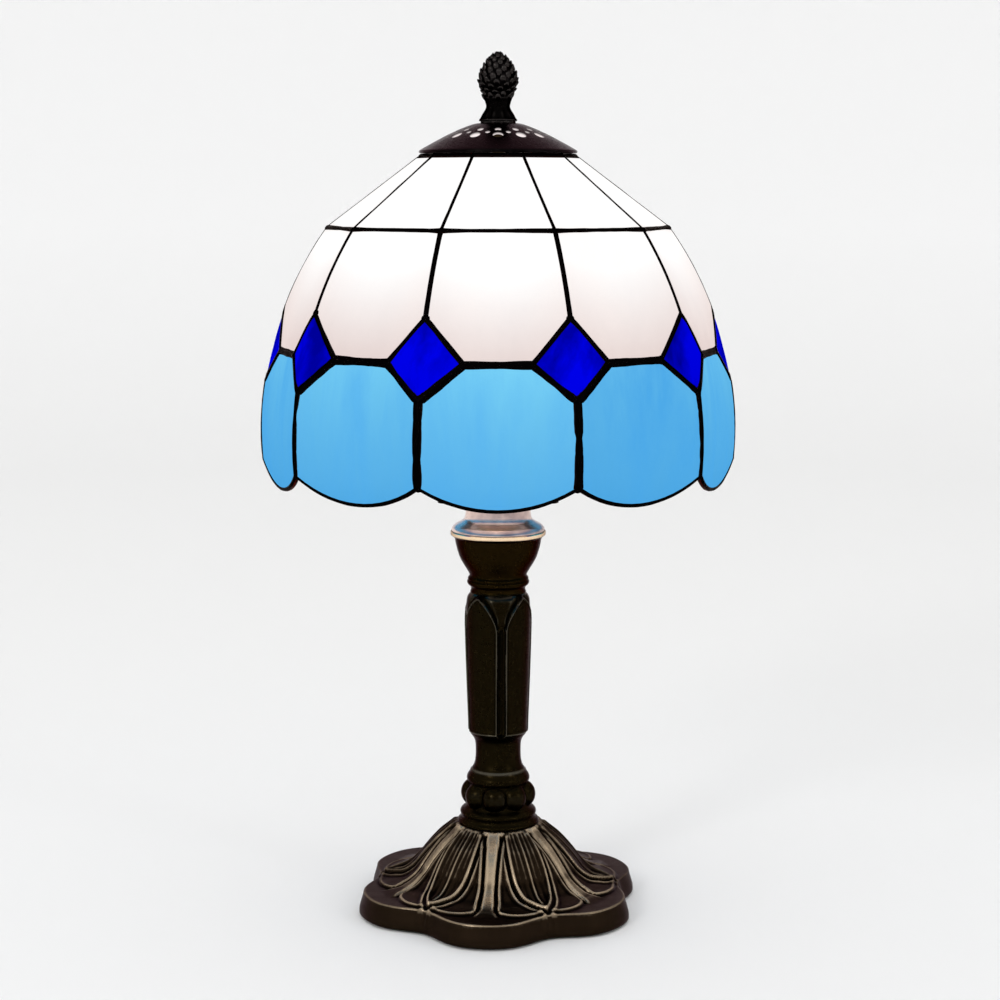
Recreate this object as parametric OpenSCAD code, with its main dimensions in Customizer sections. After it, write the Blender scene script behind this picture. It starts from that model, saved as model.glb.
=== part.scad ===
// Leaded-glass table lamp: a ten-sided dome shade of flat and bent glass on a
// cast bronze column. It stands on z = 0 and its front faces -Y.
// A turn of a piece is counted from the front, towards +X.

/* [Shade] */
// Radius of the shade's top edge, on the seams
crown_r = 31.5; // [30.5:0.5:33]
// Radius of the first ring, where flat glass meets bent glass
ring1_r = 71.5; // [62:0.5:80]
// Radius of the second ring, where white glass meets blue glass
ring2_r = 95; // [86:0.5:104]
// Radius at the cusps of the bottom edge, on the seams
skirt_r = 99.6; // [92:0.5:120]
// Height of the flat upper row
upper_h = 30.1; // [25:0.5:36]
// Height of the bent middle row
middle_h = 50.3; // [42:0.5:60]
// Height of the lower row, down to the cusps
lower_h = 47.6; // [40:0.5:57]
// How far a lower panel's rounded end hangs below the cusps
scallop_drop = 9.2; // [7:0.2:11]
// Outward bulge of the middle row
middle_bulge = 2.6; // [1.5:0.1:4]
// Outward bulge of the lower row
lower_bulge = 2.2; // [1:0.1:4]
// Thickness of the glass
glass_t = 2.2; // [1.6:0.1:2.6]
// Thickness of the cames, through the wall of the shade
came_t = 2.8; // [2.7:0.1:3.2]
// Width of the seams in the upper row
thin_seam_w = 1.8; // [1.2:0.1:3]
// Width of the seams in the lower rows
seam_w = 2.4; // [1.6:0.1:4]
// Height of the came round the top edge
crown_w = 2; // [1.2:0.1:3]
// Height of the first ring's came
ring1_w = 1.4; // [1:0.1:3]
// Height of the second ring's came
ring2_w = 3; // [2:0.1:5]
// Width of the came along the scalloped edge
rim_w = 2; // [1.4:0.1:4]
// Half the width of a cobalt diamond
diamond_half_w = 16.3; // [12:0.1:18]
// Height of a diamond above the second ring
diamond_up = 17.5; // [13:0.1:22]
// Depth of a diamond below the second ring
diamond_down = 13.8; // [10:0.1:18]
// Width of the came round a diamond
diamond_w = 2.6; // [1.6:0.1:4]

/* [Foot] */
// Thickness of the felt pad
felt_t = 1; // [0.6:0.1:3]
// Mean radius of the lobed foot
foot_r = 59.6; // [56:0.2:70]
// How far the lobes swing out from the mean
lobe_swing = 4.3; // [2:0.1:6]
// Flattening of the lobes' ends
lobe_flat = 0.7; // [0:0.1:1.2]
// Height of the foot's plate
plate_h = 9.5; // [8:0.5:14]
// Height of the foot casting
foot_h = 36; // [32:0.5:46]
// Wall of the foot casting
foot_wall = 3; // [2:0.2:4]
// Radius of the round top of the foot
foot_top_r = 18; // [16:0.5:19]
// Radius of the iron weight
ballast_r = 36; // [26:0.5:38]
// Thickness of the iron weight
ballast_t = 6; // [4:0.5:7]
// Bore of the cord outlet
cord_bore_r = 2.6; // [1.8:0.1:3.4]
// Turn of the foot casting
foot_turn = -6; // [-30:1:30]

/* [Column] */
// Height of the gadrooned knuckle
knuckle_h = 23.5; // [22:0.5:30]
// Radius over the gadroons
knuckle_r = 16.2; // [15:0.1:18]
// Number of gadroons
gadroons = 8; // [6:1:10]
// Turn of the knuckle
knuckle_turn = -8; // [-30:1:30]
// Height of the shaft
shaft_h = 79; // [66:0.5:110]
// Radius of the shaft at its shoulder
shaft_r = 14.4; // [13:0.1:16]
// Radius of the shaft above its waist
shaft_low_r = 12.4; // [11.6:0.1:14]
// Radius of the shaft's waist
waist_r = 10; // [8.5:0.1:11]
// Turn of the shaft's grooves
shaft_turn = 6; // [-45:1:45]
// Height of the cup
cup_h = 26.7; // [22:0.1:32]
// Radius of the cup's rim
cup_r = 20.4; // [18:0.1:24]
// Height of the flared cover on the cup
cover_h = 11.8; // [10:0.1:16]
// Radius of the cover's neck
neck_r = 13.9; // [12:0.1:15]
// Radius of the threaded pipe
pipe_r = 4.85; // [4:0.05:5.2]
// Wall of the threaded pipe
pipe_wall = 1.3; // [0.8:0.1:1.8]

/* [Lamp holder] */
// Radius of the socket's metal shell
socket_r = 16.5; // [16.2:0.1:18]
// Height of the socket above its saddle
socket_h = 51.8; // [50:0.2:60]
// Inner radius of the threaded sleeve
sleeve_r = 13.2; // [13.1:0.05:13.4]
// Wall of the threaded sleeve
sleeve_wall = 0.6; // [0.3:0.05:0.8]
// Radius of the bulb's globe
bulb_r = 28.5; // [22:0.5:34]
// Length of the bulb
bulb_len = 96.5; // [90:0.5:112]
// Turns that the bulb makes before its globe is close to the harp
bulb_turns = 4; // [2:1:4]
// Rise of the bulb in a turn
bulb_lead = 3.62; // [3:0.01:3.7]

/* [Harp] */
// Radius of the harp's wire
wire_r = 1.6; // [1.2:0.1:2]
// Distance of the harp's feet from the axis
harp_foot_x = 22; // [21:0.5:28]
// Gap between the globe and the harp
harp_gap = 3.4; // [3:0.1:8]
// Radius of the stud on the harp
stud_r = 3.175; // [2.8:0.005:3.4]
// Thickness of the support wheel
wheel_t = 1.6; // [1:0.1:2.4]
// Outer radius of the support wheel
wheel_r = 31; // [29.5:0.1:31.5]

/* [Top] */
// Radius of the vent cap
cap_r = 33.3; // [32.5:0.1:36]
// Height of the vent cap
cap_h = 12.3; // [11:0.1:18]
// Thickness of the vent cap's metal
cap_t = 0.9; // [0.6:0.1:1.2]
// Holes in each ring of the vent cap
cap_holes = 14; // [10:1:16]
// Height of the finial
finial_h = 29.2; // [25:0.1:36]
// Widest radius of the finial
finial_r = 8.7; // [7.5:0.1:10]
// Radius of the finial's foot
finial_foot_r = 8.6; // [7.5:0.1:10]

/* [Fits] */
// Radial clearance of a piece that turns or slides on another
run_gap = 0.075; // [0.02:0.005:0.1]
// Gap between pieces that are fixed together
fit_gap = 0.05; // [0.02:0.01:0.1]
// Gap under a piece that can be lifted off
seat_gap = 0.25; // [0.1:0.05:0.5]

/* [Hidden] */
$fn = 48;
EPS = 0.01;
PANELS = 10;
HALF = 180 / PANELS;
ARC_STEPS = 6;
CURVE_STEPS = 5;

// ---- heights of the stack, from the ground up ----
plate_z = felt_t + plate_h;
foot_z = felt_t + foot_h;
knuckle_z = foot_z + knuckle_h;
shaft_z = knuckle_z + shaft_h;
cup_z = shaft_z + cup_h;
cover_z = cup_z + cover_h;
saddle_t = 1.2;
saddle_z = cover_z + saddle_t;
socket_z = saddle_z + socket_h;
base_z = saddle_z + 19.8; // top of the socket's insulating base
contact_h = 2.5;
tip_z = base_z + contact_h + 0.3;
bulb_z = tip_z + bulb_len;
bulb_rise = bulb_turns * bulb_lead;
stud_block_z = bulb_z + bulb_rise + 0.6;
harp_x = bulb_r + harp_gap + wire_r;
harp_z = stud_block_z + 2.4;
stud_block_h = 6.8;
wheel_z = stud_block_z + stud_block_h + 0.1;
wheel_top_z = wheel_z + wheel_t;

// ---- shade: vertical profile of the middle of its wall ----
upper_slope = upper_h / (ring1_r - crown_r);
face_angle = atan(upper_slope / cos(HALF));
crown_z = wheel_top_z + seat_gap + (wheel_r / cos(HALF) - crown_r) * upper_slope
    + came_t / 2 / cos(face_angle);
ring1_z = crown_z - upper_h;
ring2_z = ring1_z - middle_h;
skirt_z = ring2_z - lower_h;
hem_z = skirt_z - scallop_drop;
half_tan = tan(HALF);

// ---- top ----
// The cap's rim stands just above the outer corner of the crown
cap_z = crown_z + came_t / 2 * cos(face_angle) + seat_gap;
cap_rim_h = 1;
cap_flat_r = finial_foot_r + 0.4;
cap_top_z = cap_z + cap_h;
washer_t = 0.8;
washer_z = cap_top_z + 0.05;
finial_z = washer_z + washer_t + 0.05;
stud_z = finial_z + 11;

// ---- curves ----
// Points of an arc from p to q that bulges to the left of the way from p to q
function arc_points(p, q, bulge, n) =
    let(d = q - p, c = norm(d), r = (c * c / 4 + bulge * bulge) / (2 * bulge))
    let(centre = (p + q) / 2 + [-d[1], d[0]] / c * (bulge - r))
    let(a = atan2(p[1] - centre[1], p[0] - centre[0]), sweep = 2 * asin(c / (2 * r)))
    [for (i = [0:n]) centre + r * [cos(a - sweep * i / n), sin(a - sweep * i / n)]];

// The way an arc from p to q is heading where it ends
function arc_heading(p, q, bulge) =
    let(d = (q - p) / norm(q - p), turn = -2 * atan(2 * bulge / norm(q - p)))
    [d[0] * cos(turn) - d[1] * sin(turn), d[0] * sin(turn) + d[1] * cos(turn)];

// A smooth curve through the points p, with n steps between neighbours
function smooth(p, n) = let(last = len(p) - 1)
    concat([for (i = [0:last - 1], k = [0:n - 1])
        let(t = k / n, a = p[max(i - 1, 0)], b = p[i], c = p[i + 1], d = p[min(i + 2, last)])
        0.5 * (2 * b + (c - a) * t + (2 * a - 5 * b + 4 * c - d) * t * t
            + (3 * b - a - 3 * c + d) * t * t * t)], [p[last]]);

function left_normal(p, q) = [p[1] - q[1], q[0] - p[0]] / norm(q - p);

// The open path p moved to its left by d, with mitred corners
function shifted(p, d) = [for (i = [0:len(p) - 1])
    let(a = left_normal(p[max(i - 1, 0)], p[max(i, 1)]))
    let(b = left_normal(p[min(i, len(p) - 2)], p[min(i + 1, len(p) - 1)]))
    p[i] + (a + b) * d / (1 + a * b)];

function reversed(p) = [for (i = [len(p) - 1:-1:0]) p[i]];

// Where the line through p and q crosses the line through r and s
function crossing(p, q, r, s) =
    let(u = q - p, v = s - r)
    p + u * ((r[0] - p[0]) * v[1] - (r[1] - p[1]) * v[0]) / (u[0] * v[1] - u[1] * v[0]);

// ---- shade geometry: apothem and height along the middle of a panel ----
function face_point(seam_r, z) = [seam_r * cos(HALF), z];
crown_p = face_point(crown_r, crown_z);
ring1_p = face_point(ring1_r, ring1_z);
ring2_p = face_point(ring2_r, ring2_z);
skirt_p = face_point(skirt_r, skirt_z);
lower_arc = arc_points(ring2_p, skirt_p, lower_bulge, ARC_STEPS);
hem_p = skirt_p + (scallop_drop + 4) * arc_heading(ring2_p, skirt_p, lower_bulge);
face = concat([crown_p], arc_points(ring1_p, ring2_p, middle_bulge, ARC_STEPS),
    [for (i = [1:ARC_STEPS]) lower_arc[i]], [hem_p]);
face_table = [for (p = face) [p[1], p[0]]];

// Half the width of a panel's middle surface at a height
function half_width(z) = lookup(z, face_table) * half_tan;
function bends_between(low, high) = [for (p = face) if (p[1] > low + EPS && p[1] < high - EPS) p[1]];

// A panel's outline between two heights, kept a distance in from its seams
function row_side(low, high, inset) =
    [for (z = concat([high], bends_between(low, high), [low])) [half_width(z) - inset, z]];
function mirrored(p) = [for (q = p) [-q[0], q[1]]];
module row_outline(low, high, inset) {
    side = row_side(low, high, inset);
    polygon(concat(side, reversed(mirrored(side))));
}

// The scalloped bottom of a panel, raised by a came's width
function scallop(raise) =
    let(w = half_width(skirt_z), r = (w * w + scallop_drop * scallop_drop) / (2 * scallop_drop))
    let(centre_z = hem_z + r, reach = asin(w / r) * 1.02, steps = 14)
    [for (i = [-steps:2:steps]) let(a = reach * i / steps) [0, centre_z] + (r - raise) * [sin(a), -cos(a)]];
module below_scallop(raise) {
    p = scallop(raise);
    far = half_width(skirt_z) + 8;
    top = p[0][1] + 0.6;
    low = hem_z - 12;
    polygon(concat([[-far, top]], p, [[far, top], [far, low], [-far, low]]));
}

// Half a diamond on the right seam, grown by d; it opens past the seam
module diamond_zone(d) {
    top = [half_width(ring2_z + diamond_up), ring2_z + diamond_up];
    side = [half_width(ring2_z) - diamond_half_w, ring2_z];
    low = [half_width(ring2_z - diamond_down), ring2_z - diamond_down];
    up = left_normal(side, top) * d;
    down = left_normal(low, side) * d;
    tip = crossing(top + up, side + up, low + down, side + down);
    far_x = top[0] + 14;
    polygon([tip,
        crossing(low + down, side + down, [far_x, 0], [far_x, 1]),
        crossing(top + up, side + up, [far_x, 0], [far_x, 1])]);
}
module both_diamonds(d) {
    diamond_zone(d);
    mirror([1, 0]) diamond_zone(d);
}

// Longer than the shade is wide, for cuts that go right through one of its walls
beyond = 140;
// The wall of one face as a bent slab, wider than every panel
module slab(t) {
    rotate([90, 0, 90])
        linear_extrude(height = beyond, center = true)
            mirror([1, 0]) polygon(concat(shifted(face, t / 2), reversed(shifted(face, -t / 2))));
}
// A flat drawing of the face (x, z) pushed through the slab
module pushed_through() {
    rotate([90, 0, 0])
        linear_extrude(height = beyond) children();
}
// The space between a face's two seams, and a little past them
module wedge(past) {
    translate([0, past / sin(HALF), hem_z - 20])
        linear_extrude(height = crown_z - hem_z + 40)
            polygon([[0, 0], beyond * [-sin(HALF), -cos(HALF)], beyond * [sin(HALF), -cos(HALF)]]);
}

module upper_outline() row_outline(ring1_z + ring1_w / 2, crown_z - crown_w, thin_seam_w / 2);
module middle_outline() {
    difference() {
        row_outline(ring2_z + ring2_w / 2, ring1_z - ring1_w / 2, seam_w / 2);
        both_diamonds(diamond_w / 2);
    }
}
module lower_outline() {
    difference() {
        row_outline(hem_z, ring2_z - ring2_w / 2, seam_w / 2);
        both_diamonds(diamond_w / 2);
        below_scallop(rim_w);
    }
}

module glass_panel() {
    intersection() {
        slab(glass_t);
        pushed_through() children();
    }
}
module turned_to(i) rotate([0, 0, 2 * HALF * (i - 1)]) children();
module upper_glass(i) color("snow") turned_to(i) glass_panel() upper_outline();
module middle_glass(i) color("mistyrose") turned_to(i) glass_panel() middle_outline();
module lower_glass(i) color("deepskyblue") turned_to(i) glass_panel() lower_outline();

module half_diamond() {
    intersection() {
        slab(glass_t);
        wedge(0);
        pushed_through() diamond_zone(-diamond_w / 2);
    }
}
module diamond_glass() {
    color("blue")
        for (i = [1:PANELS]) turned_to(i) {
            half_diamond();
            rotate([0, 0, 2 * HALF]) mirror([1, 0, 0]) half_diamond();
        }
}

// The ten-sided wall that the cames are what is left of
module lattice_wall() {
    wall = concat(shifted(face, came_t / 2), reversed(shifted(face, -came_t / 2)));
    rotate_extrude($fn = PANELS) polygon([for (p = wall) [p[0] / cos(HALF), p[1]]]);
}
module lattice_holes() {
    pushed_through() upper_outline();
    pushed_through() middle_outline();
    pushed_through() lower_outline();
    intersection() {
        wedge(0.04);
        pushed_through() {
            both_diamonds(-diamond_w / 2);
            below_scallop(0);
        }
    }
}
module came_lattice() {
    color("dimgray") difference() {
        lattice_wall();
        for (i = [1:PANELS]) turned_to(i) lattice_holes();
    }
}

// ---- foot ----
function lobed(r, a) = r + lobe_swing * cos(6 * a) - lobe_flat * cos(12 * a);
module lobed_outline(r) polygon([for (a = [0:3:357]) lobed(r, a) * [sin(a), -cos(a)]]);
module on_lobe() rotate([0, 0, foot_turn]) children();

pocket_h = plate_h - foot_wall;
shell_z = felt_t + pocket_h;
dome_r = 51; // where the dome runs out into the plate
dome = smooth([[foot_top_r, foot_z], [22.3, foot_z - 2], [27.3, foot_z - 6], [31, foot_z - 10.5],
    [34, foot_z - 15], [37, foot_z - 19.5], [41, plate_z + 3], [46, plate_z + 0.6], [dome_r, plate_z]], 3);
hollow_top_r = 12;
ledge_z = shell_z + ballast_t + 0.2;
leaf_rise = 1.4;
pipe_bore_r = pipe_r + fit_gap;
grommet_r = cord_bore_r + 1.6;
outlet_z = felt_t + 5;
outlet_r = lobed(foot_r, 0);

module dome_body(rise) {
    rotate_extrude()
        polygon(concat([[0, felt_t + 2], [0, foot_z]], shifted(dome, rise), [[dome_r + rise, felt_t + 2]]));
}
module leaf_outline() {
    half = smooth([[0, -14], [5.4, -22], [7.8, -33], [6, -43], [0, -dome_r]], CURVE_STEPS);
    polygon(concat(half, reversed(mirrored(half))));
}
module tongue_outline() polygon([[-2, -16], [2, -16], [2.6, -38], [5.2, -49], [-5.2, -49], [-2.6, -38]]);
module relief(rise) {
    intersection() {
        dome_body(rise);
        translate([0, 0, plate_z - 2]) linear_extrude(height = foot_z - plate_z + 2 - 0.5) children();
    }
}
module foot_casting() {
    color("saddlebrown") on_lobe() difference() {
        union() {
            translate([0, 0, felt_t]) linear_extrude(height = plate_h) lobed_outline(foot_r);
            dome_body(0);
            for (a = [0:60:300]) rotate([0, 0, a]) {
                relief(leaf_rise * 0.6) tongue_outline();
                rotate([0, 0, 30]) relief(leaf_rise) leaf_outline();
            }
        }
        translate([0, 0, felt_t - 1]) linear_extrude(height = pocket_h + 1) lobed_outline(foot_r - foot_wall);
        rotate_extrude() polygon([[0, shell_z - 1], [ballast_r + 0.3, shell_z - 1],
            [ballast_r + 0.3, ledge_z], [ballast_r - 4, ledge_z], [ballast_r - 8, foot_z - 14],
            [hollow_top_r, foot_z - 5], [0, foot_z - 5]]);
        cylinder(r = pipe_bore_r, h = foot_z + 1);
        translate([0, outlet_r - 12, outlet_z]) rotate([-90, 0, 0]) cylinder(r = grommet_r + fit_gap, h = 20);
    }
}
module ballast_plate() {
    color("dimgray") translate([0, 0, shell_z]) difference() {
        cylinder(r = ballast_r, h = ballast_t);
        translate([0, 0, -1]) cylinder(r = pipe_bore_r, h = ballast_t + 2);
    }
}
module felt_pad() color("darkolivegreen") on_lobe() linear_extrude(height = felt_t) lobed_outline(foot_r - 2);

flange_r = grommet_r + 1.4;
flange_t = 0.8;
outlet_len = foot_wall + 2 * flange_t + 1.2;
module cord_grommet() {
    color("black") on_lobe() translate([0, outlet_r, outlet_z]) rotate([90, 0, 0]) difference() {
        union() {
            translate([0, 0, -flange_t]) cylinder(r = min(flange_r, plate_h / 2 - 0.3), h = flange_t);
            translate([0, 0, -flange_t]) cylinder(r = grommet_r, h = outlet_len);
        }
        translate([0, 0, -flange_t - 1]) cylinder(r = cord_bore_r, h = outlet_len + 2);
    }
}

// ---- column ----
washer_h = 1.4;
washer_r = 11;
nut_h = 4;
nut_r = 9.4;
pipe_z = felt_t + 0.3;
module ring_plate(outer, inner, h) {
    difference() {
        cylinder(r = outer, h = h);
        translate([0, 0, -1]) cylinder(r = inner, h = h + 2);
    }
}
module bottom_washer() {
    color("silver") translate([0, 0, shell_z - washer_h]) ring_plate(washer_r, pipe_bore_r, washer_h);
}
module bottom_nut() {
    color("goldenrod") translate([0, 0, shell_z - washer_h - nut_h]) difference() {
        cylinder(r = nut_r, h = nut_h, $fn = 6);
        translate([0, 0, -1]) cylinder(r = pipe_bore_r, h = nut_h + 2);
    }
}
module lamp_pipe() {
    color("goldenrod") translate([0, 0, pipe_z])
        ring_plate(pipe_r, pipe_r - pipe_wall, saddle_z + 8 - pipe_z);
}

// A turned body from its outline, read upwards, with the pipe's bore through it
module turned_body(outline) {
    rotate_extrude() polygon(concat([[pipe_bore_r, outline[0][1]]], outline,
        [[pipe_bore_r, outline[len(outline) - 1][1]]]));
}

gadroon_z = foot_z + 11.8;
gadroon_r = 5.3;
knuckle_outline = smooth([[foot_top_r - 0.3, foot_z], [foot_top_r + 0.2, foot_z + 1.2],
    [16.5, foot_z + 2.8], [16.9, foot_z + 4], [16, foot_z + 6], [13.6, foot_z + 7.4],
    [13.4, gadroon_z + 4.6], [14.5, foot_z + 17.6], [13.2, foot_z + 19.2], [13.7, foot_z + 20.6],
    [12.9, foot_z + 22], [12.6, knuckle_z]], CURVE_STEPS);
module knuckle() {
    color("saddlebrown") rotate([0, 0, knuckle_turn]) difference() {
        union() {
            turned_body(knuckle_outline);
            for (i = [0:gadroons - 1]) rotate([0, 0, i * 360 / gadroons])
                translate([0, -(knuckle_r - gadroon_r), gadroon_z]) sphere(r = gadroon_r);
        }
        translate([0, 0, foot_z - 1]) cylinder(r = pipe_bore_r, h = knuckle_h + 2);
    }
}

panel_z = knuckle_z + 17.5;
shoulder_z = shaft_z - 5;
panel_rise = 0.6;
shaft_outline = smooth([[12.2, knuckle_z], [11, knuckle_z + 2], [waist_r, knuckle_z + 8],
    [10.5, knuckle_z + 12.6], [shaft_low_r - 1, panel_z - 1.5], [shaft_low_r - panel_rise, panel_z],
    [(shaft_r + shaft_low_r) / 2 - panel_rise, (panel_z + shoulder_z) / 2],
    [shaft_r - panel_rise, shoulder_z], [13, shaft_z - 2.4], [12.2, shaft_z]], CURVE_STEPS);
// A tall lancet arch, drawn on the flat and wrapped by cutting the shaft's skin
module lancet(w, low, high) {
    spring = high - 1.9 * w;
    arch = arc_points([-w, spring], [0, high], 0.22 * w, 6);
    polygon(concat([[w, low], [-w, low]], arch, reversed(mirrored(arch))));
}
module column_shaft() {
    color("saddlebrown") rotate([0, 0, shaft_turn]) difference() {
        union() {
            turned_body(shaft_outline);
            intersection() {
                translate([0, 0, panel_z])
                    cylinder(r1 = shaft_low_r, r2 = shaft_r, h = shoulder_z + 1 - panel_z);
                for (a = [45:90:315]) rotate([0, 0, a]) translate([0, -6, 0]) rotate([90, 0, 0])
                    linear_extrude(height = 20) lancet(8.4, panel_z, shoulder_z + 1);
            }
        }
        for (a = [0:90:270]) rotate([0, 0, a])
            translate([0, -shaft_r - 0.4, panel_z + 2]) cylinder(r = 1.5, h = shoulder_z - panel_z - 8);
        translate([0, 0, knuckle_z - 1]) cylinder(r = pipe_bore_r, h = shaft_h + 2);
    }
}

cup_outline = smooth([[12.2, shaft_z], [12.4, shaft_z + 2.4], [13.4, shaft_z + 4.6],
    [13.2, shaft_z + 6.4], [12.6, shaft_z + 7.8], [14.4, shaft_z + 10.6], [15.8, shaft_z + 13.4],
    [17.9, cup_z - 8.1], [19, cup_z - 3], [cup_r, cup_z - 0.9], [cup_r, cup_z]], CURVE_STEPS);
cup_wall = 2.4;
module column_cup() {
    color("saddlebrown") difference() {
        turned_body(cup_outline);
        rotate_extrude() polygon([[0, shaft_z + 13], [10, shaft_z + 13], [cup_r - cup_wall - 2.4, cup_z - 8],
            [cup_r - cup_wall - 1, cup_z + 1], [0, cup_z + 1]]);
    }
}
cover_outline = smooth([[cup_r - 0.3, cup_z], [cup_r - 0.4, cup_z + 0.8], [17.4, cup_z + 2.2],
    [neck_r + 1.2, cup_z + 4], [neck_r + 0.3, cup_z + 6.4], [neck_r, cover_z - 2.4],
    [neck_r, cover_z]], CURVE_STEPS);
cover_t = 1.2;
module cup_cover() {
    color("rosybrown") difference() {
        turned_body(cover_outline);
        translate([0, 0, cup_z - 1]) cylinder(r = neck_r - cover_t, h = cover_h - cover_t + 1);
    }
}

// ---- harp ----
pin_h = 8;
saddle_w = 8;
saddle_hub_r = 9;
ferrule_h = 12;
stud_block_r = 5.5;
leg_bend_z = saddle_z + pin_h + 8;
leg_top_z = leg_bend_z + 20;
arc_z = harp_z - harp_x;
module harp_saddle() {
    color("goldenrod") difference() {
        union() {
            translate([0, 0, cover_z]) cylinder(r = saddle_hub_r, h = saddle_t);
            translate([-harp_foot_x, -saddle_w / 2, cover_z]) cube([2 * harp_foot_x, saddle_w, saddle_t]);
            for (s = [-1, 1]) translate([s * harp_foot_x, 0, cover_z]) {
                cylinder(r = saddle_w / 2, h = saddle_t);
                cylinder(r = wire_r, h = saddle_t + pin_h);
            }
        }
        translate([0, 0, cover_z - 1]) cylinder(r = pipe_bore_r, h = saddle_t + 2);
    }
}
// A straight stretch of wire between two points of the plane y = 0
module wire(p, q) {
    translate([p[0], 0, p[1]]) rotate([0, atan2(q[0] - p[0], q[1] - p[1]), 0])
        cylinder(r = wire_r, h = norm(q - p));
}
module top_bend(r) {
    translate([0, 0, arc_z]) rotate([90, 0, 0])
        rotate_extrude(angle = 180) translate([harp_x, 0]) circle(r = r);
}
module harp_frame() {
    color("goldenrod") {
        for (s = [-1, 1]) {
            bend = [s * harp_foot_x, leg_bend_z];
            top = [s * harp_x, leg_top_z];
            wire([s * harp_foot_x, saddle_z + pin_h], bend);
            translate([bend[0], 0, bend[1]]) sphere(r = wire_r * 1.04);
            wire(bend, top);
            translate([top[0], 0, top[1]]) sphere(r = wire_r * 1.04);
            wire(top, [s * harp_x, arc_z]);
        }
        top_bend(wire_r);
    }
}
module harp_ferrules() {
    color("gold") for (s = [-1, 1]) translate([s * harp_foot_x, 0, saddle_z + 2])
        ring_plate(wire_r + 1.3, wire_r + fit_gap, ferrule_h);
}
module harp_stud() {
    color("gold") difference() {
        union() {
            translate([0, 0, stud_block_z]) cylinder(r = stud_block_r, h = stud_block_h);
            translate([0, 0, stud_block_z]) cylinder(r = stud_r, h = stud_z - stud_block_z);
        }
        top_bend(wire_r + fit_gap);
    }
}

// ---- socket ----
socket_wall = 0.6;
shell_low_z = saddle_z + 10.6;
base_r = 15;
module socket_cap() {
    inner = socket_r + fit_gap;
    outer = inner + 0.8;
    color("darkgoldenrod") rotate_extrude() polygon([[pipe_bore_r, saddle_z], [9, saddle_z],
        [11, saddle_z + 1.8], [outer, saddle_z + 9.4], [outer, saddle_z + 15],
        [inner, saddle_z + 15], [inner, saddle_z + 9.8],
        [10.4, saddle_z + 3], [8, saddle_z + 3], [8, saddle_z + 8], [pipe_bore_r, saddle_z + 8]]);
}
module socket_shell() {
    color("darkgoldenrod") translate([0, 0, shell_low_z])
        ring_plate(socket_r, socket_r - socket_wall, socket_z - shell_low_z);
}
module socket_base() {
    color("saddlebrown") difference() {
        translate([0, 0, shell_low_z]) cylinder(r = base_r, h = base_z - shell_low_z);
        for (s = [-1, 1]) translate([0, s * 9, shell_low_z - 1])
            cylinder(r = 1.8, h = base_z - shell_low_z + 2);
    }
}
module socket_liner() {
    color("tan") translate([0, 0, shell_low_z])
        ring_plate(socket_r - socket_wall - fit_gap, base_r + fit_gap, socket_z - shell_low_z - 1.6);
}
module screw_shell() {
    color("gold") translate([0, 0, base_z])
        ring_plate(sleeve_r + sleeve_wall, sleeve_r, socket_z - base_z - 4);
}
module centre_contact() {
    color("orange") translate([0, 2.5, base_z]) rotate([90, 0, 0]) linear_extrude(height = 5)
        polygon([[-8, 0], [-1, 0], [5, contact_h - 0.6], [7, contact_h - 0.6], [7, contact_h],
            [4.6, contact_h], [-1.3, 0.6], [-8, 0.6]]);
}

// ---- bulb ----
bulb_cap_r = sleeve_r - run_gap;
bulb_cap_z = tip_z + 2.2;
bulb_seam_z = socket_z - 1.2;
globe_z = bulb_z - bulb_r;
bulb_wall = 0.8;
glass_outline = smooth([[13.4, bulb_seam_z + 0.3], [14.2, bulb_seam_z + 4], [17.4, bulb_seam_z + 12],
    [23.4, globe_z - bulb_r * 0.571], [bulb_r * 0.96, globe_z - bulb_r * 0.28],
    [bulb_r, globe_z]], CURVE_STEPS);
function globe_arc(r, n) = [for (i = [1:n]) [r * cos(90 * i / n), globe_z + r * sin(90 * i / n)]];
module bulb_glass() {
    outer = concat(glass_outline, globe_arc(bulb_r, 12));
    inner = concat(shifted(glass_outline, bulb_wall), globe_arc(bulb_r - bulb_wall, 12));
    color("white") rotate_extrude() polygon(concat(outer, reversed(inner)));
}
module bulb_cap() {
    color("silver") rotate_extrude() polygon([[bulb_cap_r - 1, bulb_cap_z], [bulb_cap_r, bulb_cap_z + 1.6],
        [bulb_cap_r, bulb_seam_z], [bulb_cap_r - 0.6, bulb_seam_z], [bulb_cap_r - 0.6, bulb_cap_z + 1.8],
        [bulb_cap_r - 1.4, bulb_cap_z + 0.4]]);
}
module bulb_tip() {
    color("dimgray") rotate_extrude() polygon([[0, tip_z], [4, tip_z], [4.6, tip_z + 0.8],
        [bulb_cap_r - 1.6, bulb_cap_z], [bulb_cap_r - 1.6, bulb_cap_z + 1.4], [0, bulb_cap_z + 1.4]]);
}

// ---- support wheel ----
wheel_band = 3.5;
spoke_w = 5;
hub_r = 8;
module support_wheel() {
    color("goldenrod") difference() {
        union() {
            translate([0, 0, wheel_z]) ring_plate(wheel_r, wheel_r - wheel_band, wheel_t);
            for (a = [45:90:315]) rotate([0, 0, a]) translate([hub_r - 3, -spoke_w / 2, wheel_z])
                cube([wheel_r - wheel_band / 2 - hub_r + 3, spoke_w, wheel_t]);
            translate([0, 0, wheel_z]) cylinder(r = hub_r, h = wheel_t + 1.2);
        }
        translate([0, 0, wheel_z - 1]) cylinder(r = stud_r + run_gap, h = wheel_t + 4);
    }
}

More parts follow.
